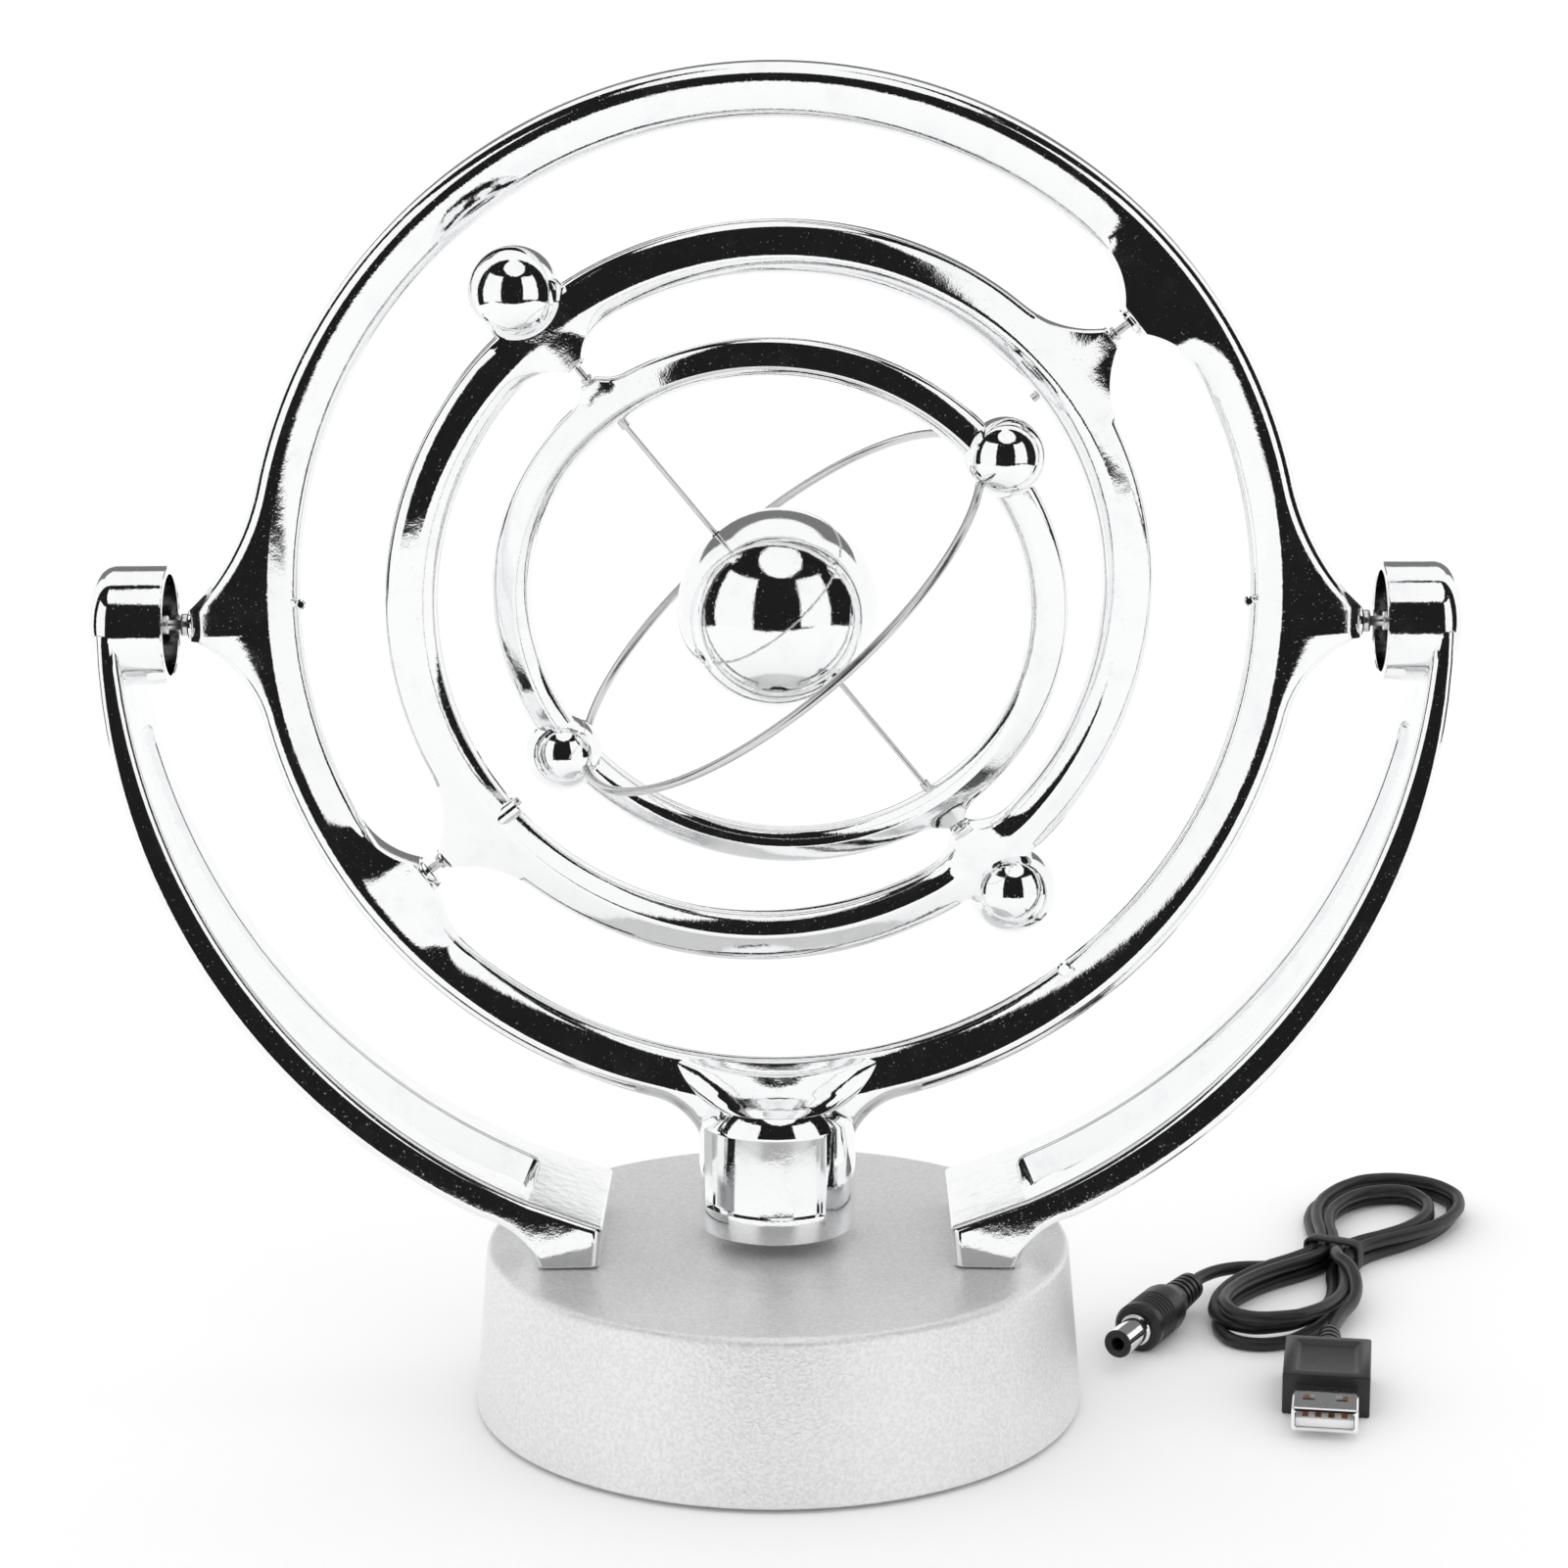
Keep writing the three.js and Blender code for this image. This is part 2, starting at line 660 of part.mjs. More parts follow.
const middleFrame = new THREE.Group();
middleFrame.position.set(-middlePlay * Math.cos(diagonal * deg), 0, -middlePlay * Math.sin(diagonal * deg));
middleFrame.rotation.set(middleTilt * deg, -diagonal * deg, 0, 'YXZ');
outerFrame.add(middleFrame);

function makeMiddleRing() {
  const outline = luggedCircle(middleOuter, [
    radialLug(0, middleNeckTip, 1.9, 12),
    radialLug(180, middleNeckTip, 1.9, 12),
  ]);
  const opening = luggedCircle(middleInner, [
    radialLug(90, middleBossTip, 1.9, 9),
    radialLug(270, middleBossTip, 1.9, 9),
  ]);
  const ring = ringPlate(outline, opening, middleDepth, 1.5);
  const balls = [1, -1].map((side) => ball(largeBallRadius, 0, 0, side * largeBallCircle));
  const pinBore = crossBar(middlePinRadius + gap, -middleNeckTip - 1, middleNeckTip + 1, 12);
  const bossBore = roundBar(innerPinRadius + runningGap, -middleInner - 2, middleInner + 2, 12);
  return cut(join(ring, ...balls), pinBore, bossBore);
}

addPiece(middleFrame, 'middle_ring', makeMiddleRing(), chromePlate);

const middlePin = crossBar(middlePinRadius, middleInner - 1.1, outerRingInner - 0.6, 12);
addPiece(middleFrame, 'middle_pin_upper', middlePin, steel);
addPiece(middleFrame, 'middle_pin_lower', mirrored(middlePin), steel);

// ---- inner ring: its pins lie along its own Z, its balls on its own X ----

const innerFrame = new THREE.Group();
innerFrame.position.set(0, 0, -innerPlay);
innerFrame.rotation.set(0, 0, innerTilt * deg);
middleFrame.add(innerFrame);

function makeInnerRing() {
  const outline = luggedCircle(innerOuter, [
    radialLug(90, innerNeckTip, 1.7, 7),
    radialLug(270, innerNeckTip, 1.7, 7),
  ]);
  const ring = ringPlate(outline, circlePoints(innerInner), innerDepth, 1.3);
  const balls = [1, -1].map((side) => ball(smallBallRadius, side * smallBallCircle, 0, 0));
  const pinBore = roundBar(innerPinRadius + gap, -innerNeckTip - 1, innerNeckTip + 1, 12);
  return cut(join(ring, ...balls), pinBore);
}

addPiece(innerFrame, 'inner_ring', makeInnerRing(), chromePlate);

const pinInnerEnd = innerInner + 2.6;
const innerPinUpper = roundBar(innerPinRadius, pinInnerEnd, middleInner + 1 + innerPlay, 12);
const innerPinLower = roundBar(innerPinRadius, -middleInner - 1 + innerPlay, -pinInnerEnd, 12);
addPiece(innerFrame, 'inner_pin_upper', innerPinUpper, steel);
addPiece(innerFrame, 'inner_pin_lower', innerPinLower, steel);

// Half of the orbit wire: it leaves one small ball and ends at the other.
function makeOrbitWire(side) {
  const reach = smallBallRadius + gap + orbitWireRadius / 2;
  const cosine = (orbitRadius ** 2 + smallBallCircle ** 2 - reach ** 2) / (2 * orbitRadius * smallBallCircle);
  const start = Math.acos(cosine);
  const points = [];
  for (let step = 0; step <= 24; step += 1) {
    const angle = start + ((Math.PI - 2 * start) * step) / 24;
    points.push(new THREE.Vector3(orbitRadius * Math.cos(angle), side * orbitRadius * Math.sin(angle), 0));
  }
  const section = new THREE.Shape(circlePoints(orbitWireRadius, 45));
  return new THREE.ExtrudeGeometry(section, {
    steps: 30,
    bevelEnabled: false,
    extrudePath: new THREE.CatmullRomCurve3(points),
  }).rotateX(orbitTilt * deg);
}

addPiece(innerFrame, 'orbit_wire_front', makeOrbitWire(-1), steel);
addPiece(innerFrame, 'orbit_wire_back', makeOrbitWire(1), steel);
addPiece(innerFrame, 'axle_wire', roundBar(axleRadius, -pinInnerEnd + gap, pinInnerEnd - gap, 12), steel);

const sphere = new THREE.SphereGeometry(sphereRadius, 32, 18);
const sphereBore = roundBar(axleRadius + runningGap, -sphereRadius - 1, sphereRadius + 1, 12);
addPiece(innerFrame, 'centre_sphere', cut(sphere, sphereBore), chromePlate);

// ---- power lead: a hank on the desk, its local X running towards the far loops ----

const lead = new THREE.Group();
lead.position.set(hankPlace[0], hankPlace[1], 0);
lead.rotation.set(0, 0, hankHeading * deg);
part.add(lead);

function makeHank() {
  const outline = new THREE.Shape();
  outline.moveTo(4, waistHalfWidth);
  outline.bezierCurveTo(14, 7, 20, 16, 34, 16);
  outline.bezierCurveTo(58, 16, 56, -14, 34, -13);
  outline.bezierCurveTo(20, -12, 14, -7, 4, -waistHalfWidth);
  outline.lineTo(-4, -waistHalfWidth);
  outline.bezierCurveTo(-16, -6, -22, -11, -34, -11);
  outline.bezierCurveTo(-58, -11, -58, 11, -34, 11);
  outline.bezierCurveTo(-22, 11, -16, 6, -4, waistHalfWidth);
  outline.lineTo(4, waistHalfWidth);
  const flat = new THREE.ExtrudeGeometry(outline, { depth: hankHeight, bevelEnabled: false, curveSegments: 8 });
  const around = makeTieRing(tieWidth + 2 * gap, tieThickness + gap, 6);
  return cut(flat, around);
}

// A flat ring round the waist of the hank. Its bore stays clear of the cords by the gap.
function makeTieRing(width, inset, outset) {
  const boreHalf = waistHalfWidth - inset;
  const boreHeight = hankHeight / 2 - inset;
  const outer = [
    [-boreHalf - outset, -boreHeight - outset], [boreHalf + outset, -boreHeight - outset],
    [boreHalf + outset, boreHeight + outset], [-boreHalf - outset, boreHeight + outset],
  ];
  const shape = new THREE.Shape(outer.map(([y, z]) => new THREE.Vector2(y, z)));
  const bore = [
    [-boreHalf, -boreHeight + 1], [-boreHalf + 1, -boreHeight], [boreHalf - 1, -boreHeight],
    [boreHalf, -boreHeight + 1], [boreHalf, boreHeight - 1], [boreHalf - 1, boreHeight],
    [-boreHalf + 1, boreHeight], [-boreHalf, boreHeight - 1],
  ];
  shape.holes.push(new THREE.Path(bore.map(([y, z]) => new THREE.Vector2(y, z))));
  const ring = new THREE.ExtrudeGeometry(shape, { depth: width, bevelEnabled: false });
  return ring.translate(0, 0, -width / 2).rotateX(Math.PI / 2).rotateZ(Math.PI / 2)
    .translate(0, 0, hankHeight / 2);
}

addPiece(lead, 'cord_hank', makeHank(), blackPlastic);
addPiece(lead, 'cord_tie', makeTieRing(tieWidth, tieThickness, tieThickness), blackPlastic);

// A lead from the hank to a plug, through hand-chosen points.
function makeLead(points) {
  const path = new THREE.CatmullRomCurve3(points.map((point) => new THREE.Vector3(...point)));
  const section = new THREE.Shape(circlePoints(cordRadius, 45));
  return new THREE.ExtrudeGeometry(section, { steps: 8, bevelEnabled: false, extrudePath: path });
}

addPiece(lead, 'dc_lead', makeLead([
  [-35.2, 17, 4.8], [-29, 17.2, 4.6], [-21, 14.6, 4.2], [-14.4, 9.2, 3.6],
]), blackPlastic);
addPiece(lead, 'usb_lead', makeLead([
  [-45.7, -15.9, 4], [-36, -14.4, 4], [-25, -13.6, 3.8], [-14.6, -9, 3.6],
]), blackPlastic);

// The barrel plug points along -X and lies on the desk.
function layPlug(geometry) {
  return geometry.rotateY(Math.PI / 2).translate(plugPlace[0], plugPlace[1], plugBodyRadius);
}

addPiece(lead, 'dc_plug_body', layPlug(turned([
  [0, 0],
  [plugBodyRadius - 0.5, 0],
  [plugBodyRadius, 0.6],
  [plugBodyRadius, plugBodyLength - 3],
  [plugBodyRadius * 0.72, plugBodyLength],
  [plugBodyRadius * 0.6, plugBodyLength + plugReliefLength],
  [0, plugBodyLength + plugReliefLength],
], 24)), blackPlastic);

const plugBoreRadius = 1.25;
addPiece(lead, 'dc_plug_barrel', layPlug(turned([
  [0, -gap],
  [0, -2],
  [plugBoreRadius, -2],
  [plugBoreRadius, -plugBarrelLength],
  [plugBarrelRadius - 0.3, -plugBarrelLength],
  [plugBarrelRadius, -plugBarrelLength + 0.4],
  [plugBarrelRadius, -gap],
  [0, -gap],
], 24)), chromePlate);

const usb = new THREE.Group();
usb.position.set(usbPlace[0], usbPlace[1], usbBodyHeight / 2);
usb.rotation.set(0, 0, usbHeading * deg);
lead.add(usb);

function makeUsbBody() {
  const half = usbBodyWidth / 2;
  const end = usbReliefLength + usbBodyLength;
  const outline = [
    [usbReliefLength - 1, -3.4], [usbReliefLength + 4, -half], [end, -half],
    [end, half], [usbReliefLength + 4, half], [usbReliefLength - 1, 3.4],
  ];
  const shape = new THREE.Shape(outline.map(([x, y]) => new THREE.Vector2(x, y)));
  const body = new THREE.ExtrudeGeometry(shape, {
    depth: usbBodyHeight - 1.6,
    bevelEnabled: true,
    bevelThickness: 0.8,
    bevelSize: 0.8,
    bevelOffset: -0.8,
    bevelSegments: 1,
  }).translate(0, 0, 0.8 - usbBodyHeight / 2);
  return join(body, crossBar(usbReliefRadius, 0, usbReliefLength + 2, 16));
}

function usbBar(width, height, from, to) {
  return block(from, to, -width / 2, width / 2, -height / 2, height / 2);
}

const shellStart = usbReliefLength + usbBodyLength + gap;
const shellEnd = shellStart + usbShellLength;
addPiece(usb, 'usb_plug_body', makeUsbBody(), blackPlastic);
addPiece(usb, 'usb_plug_shell', cut(
  usbBar(usbShellWidth, usbShellHeight, shellStart, shellEnd),
  usbBar(usbShellWidth - 2 * usbShellWall, usbShellHeight - 2 * usbShellWall, shellStart - 1, shellEnd + 1),
), chromePlate);
const tongueWidth = usbShellWidth - 2 * usbShellWall - 2 * gap;
addPiece(usb, 'usb_plug_tongue', usbBar(tongueWidth, 1.8, shellStart, shellEnd - 0.6)
  .translate(0, 0, 0.9 - usbShellHeight / 2 + usbShellWall + gap), whiteNylon);

export default part;
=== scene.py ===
import bpy
from math import acos, asin, atan2, cos, degrees, floor, hypot, pi, radians, sin, sqrt
from mathutils import Matrix, Vector


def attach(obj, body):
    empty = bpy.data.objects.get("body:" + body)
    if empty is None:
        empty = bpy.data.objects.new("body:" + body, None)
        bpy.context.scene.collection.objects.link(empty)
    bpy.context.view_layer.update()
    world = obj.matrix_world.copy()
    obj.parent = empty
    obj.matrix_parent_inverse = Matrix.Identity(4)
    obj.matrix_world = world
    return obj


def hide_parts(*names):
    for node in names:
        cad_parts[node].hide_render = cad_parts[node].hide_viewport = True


# Kinetic ring toy: gimballed chrome rings on two arms over a satin drum, with its power lead.
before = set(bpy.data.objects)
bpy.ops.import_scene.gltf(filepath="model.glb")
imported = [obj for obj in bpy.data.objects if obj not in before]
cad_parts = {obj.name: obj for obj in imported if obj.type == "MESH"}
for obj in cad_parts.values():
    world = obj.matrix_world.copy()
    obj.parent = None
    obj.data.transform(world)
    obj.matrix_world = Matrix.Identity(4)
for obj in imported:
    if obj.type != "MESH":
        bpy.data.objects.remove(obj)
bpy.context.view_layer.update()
mm = 0.001
print("frame loaded")


# ---- camera and light ----

studio = {
    "place": (0.00882, -0.63314, 0.25086),
    "pitch": 11.978, "yaw": 0.657, "roll": 0.305, "lens": 82.36,
    "softWhite": 1.1,  # light on matt surfaces
    "roomWhite": 1.02,  # seen in polished ones
    "roomBlack": 0.012,
    "roomBack": 0.2,  # the wall behind the table
    "backWall": (132, 18, 46),  # how far round it starts, its low and high edges
    "darkSide": (97, 94),  # the dark room reaches this far round from the front
    "darkTop": (83, 80),  # and this high
    # soft boxes by the camera: from, to, low, high, in degrees
    "boxes": [(-75, -28, -16, 40), (27, 63, -12, 39.5)],
    "boxEdge": 1,
    "roundLight": (8, 65, 21),  # how far round, how high, and its radius
    "floor": (0.62, -0.5, 2.5),  # half its width, front and back edges, in metres
}


def placeCamera():
    pitch, yaw, roll = (radians(studio[key]) for key in ("pitch", "yaw", "roll"))
    ahead = Vector((-sin(yaw) * cos(pitch), cos(yaw) * cos(pitch), -sin(pitch)))
    level = Vector((cos(yaw), sin(yaw), 0))
    above = level.cross(ahead)
    right = level * cos(roll) - above * sin(roll)
    up = level * sin(roll) + above * cos(roll)
    bpy.ops.object.camera_add(location=studio["place"])
    camera = bpy.context.object
    camera.data.lens = studio["lens"]
    camera.data.sensor_width = 36
    camera.data.clip_start = 0.01
    camera.data.clip_end = 50
    turn = Matrix((right, up, -ahead)).transposed()
    camera.matrix_world = Matrix.Translation(studio["place"]) @ turn.to_4x4()
    bpy.context.scene.camera = camera


placeCamera()
print("camera placed")


# ---- shader helper ----

class Value:  # a socket that does arithmetic
    def __init__(self, finish, socket):
        self.finish, self.socket = finish, socket

    def work(self, operation, *terms):
        return self.finish.node("ShaderNodeMath", {"operation": operation}, terms)

    def __add__(self, other): return self.work("ADD", self, other)
    def __radd__(self, other): return self.work("ADD", other, self)
    def __sub__(self, other): return self.work("SUBTRACT", self, other)
    def __rsub__(self, other): return self.work("SUBTRACT", other, self)
    def __mul__(self, other): return self.work("MULTIPLY", self, other)
    def __rmul__(self, other): return self.work("MULTIPLY", other, self)


class Finish:  # a node tree for one finish
    def __init__(self, name, owner=None):
        self.owner = owner or bpy.data.materials.new(name)
        self.owner.use_nodes = True
        self.tree = self.owner.node_tree
        self.tree.nodes.clear()

    def node(self, kind, settings=None, values=(), output=0):
        made = self.tree.nodes.new(kind)
        for key, setting in (settings or {}).items():
            setattr(made, key, setting)
        for key, term in values.items() if isinstance(values, dict) else enumerate(values):
            if isinstance(term, Value):
                self.tree.links.new(term.socket, made.inputs[key])
            else:
                made.inputs[key].default_value = term
        return Value(self, made.outputs[output]) if len(made.outputs) else None

    def place(self):
        return self.node("ShaderNodeTexCoord", output="Object")

    def noise(self, scale, detail=2.0, stretch=None, rough=0.5):
        where = self.place()
        if stretch:
            where = self.node("ShaderNodeMapping", {}, {"Vector": where, "Scale": stretch})
        values = {"Vector": where, "Scale": scale, "Detail": detail, "Roughness": rough}
        return self.node("ShaderNodeTexNoise", {}, values)

    def blend(self, factor, first, second):
        return self.node("ShaderNodeMix", {"data_type": "RGBA"}, {0: factor, 6: first, 7: second}, 2)

    def soft(self, value, low, high):
        return self.node("ShaderNodeMapRange", {"interpolation_type": "SMOOTHSTEP"},
                         {"Value": value, "From Min": low, "From Max": high})

    def bump(self, height, distance, strength=1.0, under=None):
        values = {"Height": height, "Distance": distance, "Strength": strength}
        if under:
            values["Normal"] = under
        return self.node("ShaderNodeBump", {}, values)

    def surface(self, **values):
        named = {key.replace("_", " "): value for key, value in values.items()}
        shader = self.node("ShaderNodeBsdfPrincipled", {}, named)
        self.node("ShaderNodeOutputMaterial", {}, {"Surface": shader})
        return self.owner


def grey(level):
    return (level, level, level, 1)


def lightRoom():
    world = bpy.data.worlds.new("studio")
    bpy.context.scene.world = world
    room = Finish("studio", world)
    toward = room.node("ShaderNodeTexCoord", output="Generated")
    east, north, rise = (room.node("ShaderNodeSeparateXYZ", {}, [toward], index) for index in range(3))
    azimuth = room.node("ShaderNodeMath", {"operation": "ARCTAN2"}, [east, 0 - north])
    side = room.node("ShaderNodeMath", {"operation": "ABSOLUTE"}, [azimuth])  # 0 towards the camera
    elevation = room.node("ShaderNodeMath", {"operation": "ARCSINE"}, [rise])

    def between(value, low, high):  # 1 inside two edges, both a little soft
        edge = studio["boxEdge"]
        return (room.soft(value, radians(low - edge), radians(low))
                * room.soft(value, radians(high + edge), radians(high)))

    (sideOff, sideOn), (topOff, topOn) = studio["darkSide"], studio["darkTop"]
    dark = room.soft(side, radians(sideOff), radians(sideOn)) * room.soft(elevation, radians(topOff), radians(topOn))
    for left, right, low, high in studio["boxes"]:
        dark = dark * (1 - between(azimuth, left, right) * between(elevation, low, high))
    spotAz, spotEl, spotSize = (radians(value) for value in studio["roundLight"])
    middle = (sin(spotAz) * cos(spotEl), -cos(spotAz) * cos(spotEl), sin(spotEl))
    near = room.node("ShaderNodeVectorMath", {"operation": "DOT_PRODUCT"}, [toward, middle], "Value")
    dark = dark * (1 - room.soft(near, cos(spotSize + 0.02), cos(spotSize)))
    start, low, high = (radians(value) for value in studio["backWall"])
    wall = room.soft(side, start - 0.03, start + 0.03) * room.soft(elevation, low - 0.03, low + 0.03)
    wall = wall * (1 - room.soft(elevation, high - 0.05, high + 0.05))
    shade = room.blend(wall, grey(studio["roomWhite"]), grey(studio["roomBack"]))
    shade = room.blend(dark, shade, grey(studio["roomBlack"]))
    path = room.node("ShaderNodeLightPath", output="Is Glossy Ray")
    shade = room.blend(path, grey(studio["softWhite"]), shade)
    light = room.node("ShaderNodeBackground", {}, {"Color": shade, "Strength": 1.0})
    room.node("ShaderNodeOutputWorld", {}, {"Surface": light})
    settings = bpy.context.scene.view_settings
    settings.view_transform = "Standard"
    settings.look = "None"


lightRoom()


# ---- finishes, named for the part's own slots ----

def makeChrome():
    f = Finish("chromePlate")
    peel = f.noise(420, 1.0)
    grit = f.noise(2600, 3.0)
    specks = f.soft(f.noise(2600, 1.0), 0.68, 0.76)
    wear = f.soft(f.noise(160, 4.0, rough=0.62), 0.5, 0.72)
    rough = 0.035 + wear * 0.05 + specks * 0.25
    tone = f.blend(wear, (0.93, 0.935, 0.94, 1), (0.89, 0.895, 0.905, 1))
    fine = f.bump(grit, 0.000012, 0.6)
    wave = f.bump(peel, 0.00008, 0.22, fine)
    return f.surface(Base_Color=tone, Metallic=1.0, Roughness=rough, Normal=wave)


def makeSatin():
    f = Finish("satinSilver")
    grain = f.noise(1500, 3.0, rough=0.6)
    cloud = f.noise(45, 2.0)
    speck = f.soft(grain, 0.38, 0.62)
    dull = f.blend(speck, grey(0.745), grey(0.845))
    bright = f.blend(speck, grey(0.785), grey(0.875))
    tone = f.blend(cloud, dull, bright)
    rough = 0.3 + 0.12 * grain
    return f.surface(Base_Color=tone, Metallic=0.55, Roughness=rough, Normal=f.bump(grain, 0.00016, 1.0))


def makeSteel(name="drawnSteel", tone=0.72, roughness=0.16):
    f = Finish(name)
    lines = f.noise(900, 2.0, stretch=(0.2, 1, 1))
    mix = f.blend(lines, grey(tone * 0.86), grey(tone))
    return f.surface(Base_Color=mix, Metallic=1.0, Roughness=roughness + 0.14 * lines,
                     Normal=f.bump(lines, 0.00002, 0.3))


def makePlastic(name, tone, roughness, grainScale=1800, depth=0.00003):
    f = Finish(name)
    grain = f.noise(grainScale, 2.0)
    patch = f.noise(70, 2.0)
    mix = f.blend(patch, grey(tone), grey(min(1, tone * 1.35 + 0.004)))
    return f.surface(Base_Color=mix, Roughness=roughness + 0.12 * grain, Normal=f.bump(grain, depth, 0.5))


def makeCopper():
    f = Finish("copperWinding")
    turns = f.node("ShaderNodeTexWave", {"bands_direction": "Z"},
                   {"Vector": f.place(), "Scale": 620.0, "Distortion": 0.6})
    mix = f.blend(turns, (0.34, 0.11, 0.04, 1), (0.78, 0.36, 0.18, 1))
    return f.surface(Base_Color=mix, Metallic=0.9, Roughness=0.3 + 0.15 * turns, Normal=f.bump(turns, 0.0001, 0.7))


def makeBoard():
    f = Finish("boardGreen")
    weave = f.noise(700, 2.0, stretch=(1, 4, 1))
    tracks = f.soft(f.noise(260, 0.0, stretch=(1, 0.15, 1)), 0.52, 0.55)
    mix = f.blend(tracks, (0.015, 0.11, 0.05, 1), (0.03, 0.2, 0.09, 1))
    return f.surface(Base_Color=mix, Roughness=0.3 + 0.15 * weave, Normal=f.bump(weave + tracks, 0.00004, 0.5))


finishes = {
    "chrome": makeChrome(),
    "satin": makeSatin(),
    "steel": makeSteel(),
    "screw": makeSteel("screwSteel", 0.5, 0.26),
    "nickel": makeSteel("magnetNickel", 0.6, 0.2),
    "housing": makePlastic("blackPlastic", 0.012, 0.34),
    "bearing": makePlastic("bearingPlastic", 0.006, 0.3),
    "rubber": makePlastic("footRubber", 0.014, 0.62, 1200, 0.00006),
    "cord": makePlastic("cordVinyl", 0.007, 0.36, 900, 0.00004),
    "tie": makePlastic("tieBlack", 0.009, 0.42, 2400),
    "plug": makePlastic("plugBlack", 0.008, 0.34, 2200),
    "nylon": makePlastic("bobbinNylon", 0.7, 0.42),
    "copper": makeCopper(),
    "board": makeBoard(),
}
print("finishes made")


# ---- modelling helpers ----

def objectMode():
    if bpy.context.mode != "OBJECT":
        bpy.ops.object.mode_set(mode="OBJECT")


def deselectAll():
    objectMode()
    bpy.ops.object.select_all(action="DESELECT")


def take(piece):  # the only selected and active object
    deselectAll()
    piece.select_set(True)
    bpy.context.view_layer.objects.active = piece
    return piece


def settle(piece):  # its place goes into its mesh
    take(piece)
    bpy.ops.object.transform_apply(location=True, rotation=True, scale=True)
    return piece


def editWhere(piece, kind, test):  # edit mode with the faces or edges that pass the test selected
    take(piece)
    bpy.ops.object.mode_set(mode="EDIT")
    bpy.ops.mesh.select_mode(type=kind)
    bpy.ops.mesh.select_all(action="DESELECT")
    bpy.ops.object.mode_set(mode="OBJECT")
    mesh = piece.data
    if kind == "FACE":
        for face in mesh.polygons:
            face.select = test(face.center, face.normal)
    else:
        for edge in mesh.edges:
            edge.select = test(mesh.vertices[edge.vertices[0]].co, mesh.vertices[edge.vertices[1]].co)
    bpy.ops.object.mode_set(mode="EDIT")


def editAll(piece):
    take(piece)
    bpy.ops.object.mode_set(mode="EDIT")
    bpy.ops.mesh.select_all(action="SELECT")


def addModifier(piece, kind, **settings):
    take(piece)
    modifier = piece.modifiers.new(kind.lower(), kind)
    for key, setting in settings.items():
        setattr(modifier, key, setting)
    bpy.ops.object.modifier_apply(modifier=modifier.name)
    return piece


def bevelEdges(piece, width, segments=2, angle=32):
    return addModifier(piece, "BEVEL", width=width * mm, segments=segments, limit_method="ANGLE",
                       angle_limit=radians(angle), miter_outer="MITER_ARC", use_clamp_overlap=True)


def cutAway(piece, tool):
    addModifier(piece, "BOOLEAN", operation="DIFFERENCE", object=tool, solver="EXACT")
    bpy.data.objects.remove(tool)
    return piece


def unite(piece, other):
    addModifier(piece, "BOOLEAN", operation="UNION", object=other, solver="EXACT")
    bpy.data.objects.remove(other)
    return piece


def joinPieces(first, *others):
    take(first)
    for other in others:
        other.select_set(True)
    bpy.ops.object.join()
    return first


def spinProfile(name, points, steps=96, axis="Z", start=0.0, sweep=360.0, finish="chrome"):
    # points are radius and height in mm, a closed outline; it is spun about the axis
    deselectAll()
    fill = "NGON" if sweep < 360 else "NOTHING"
    bpy.ops.mesh.primitive_circle_add(vertices=len(points), radius=0.01, fill_type=fill)
    piece = bpy.context.object
    piece.name = name
    for vertex, (radius, height) in zip(piece.data.vertices, points):
        spot = Vector((radius * cos(radians(start)), radius * sin(radians(start)), height)) * mm
        vertex.co = spot if axis == "Z" else (spot.z, spot.x, spot.y) if axis == "X" else (spot.y, spot.z, spot.x)
    editAll(piece)
    turn = {"X": (1, 0, 0), "Y": (0, 1, 0), "Z": (0, 0, 1)}[axis]
    bpy.ops.mesh.spin(steps=steps, angle=radians(sweep), center=(0, 0, 0), axis=turn)
    bpy.ops.mesh.select_all(action="SELECT")
    bpy.ops.mesh.remove_doubles(threshold=0.000004)
    bpy.ops.mesh.dissolve_degenerate(threshold=0.000001)
    bpy.ops.mesh.normals_make_consistent(inside=False)
    objectMode()
    piece.data.materials.append(finishes[finish])
    return piece


def movePoints(piece, rule):
    for vertex in piece.data.vertices:
        vertex.co = rule(vertex.co)
    return piece


def makeCopy(piece, name, rule):
    twin = piece.copy()
    twin.data = piece.data.copy()
    twin.name = name
    bpy.context.collection.objects.link(twin)
    return movePoints(twin, rule)


def halfTurn(point):
    return Vector((-point.x, -point.y, point.z))


def finishPiece(piece, body, slot, *nodes, angle=38, even=False):
    settle(piece)
    bpy.ops.object.shade_smooth_by_angle(angle=radians(angle))
    if even:
        addModifier(piece, "WEIGHTED_NORMAL", keep_sharp=True, weight=60)
    if nodes:
        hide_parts(*nodes)
    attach(piece, body)
    return piece


# ---- the power lead: two leads, and a hank of seven loops through one tie ----

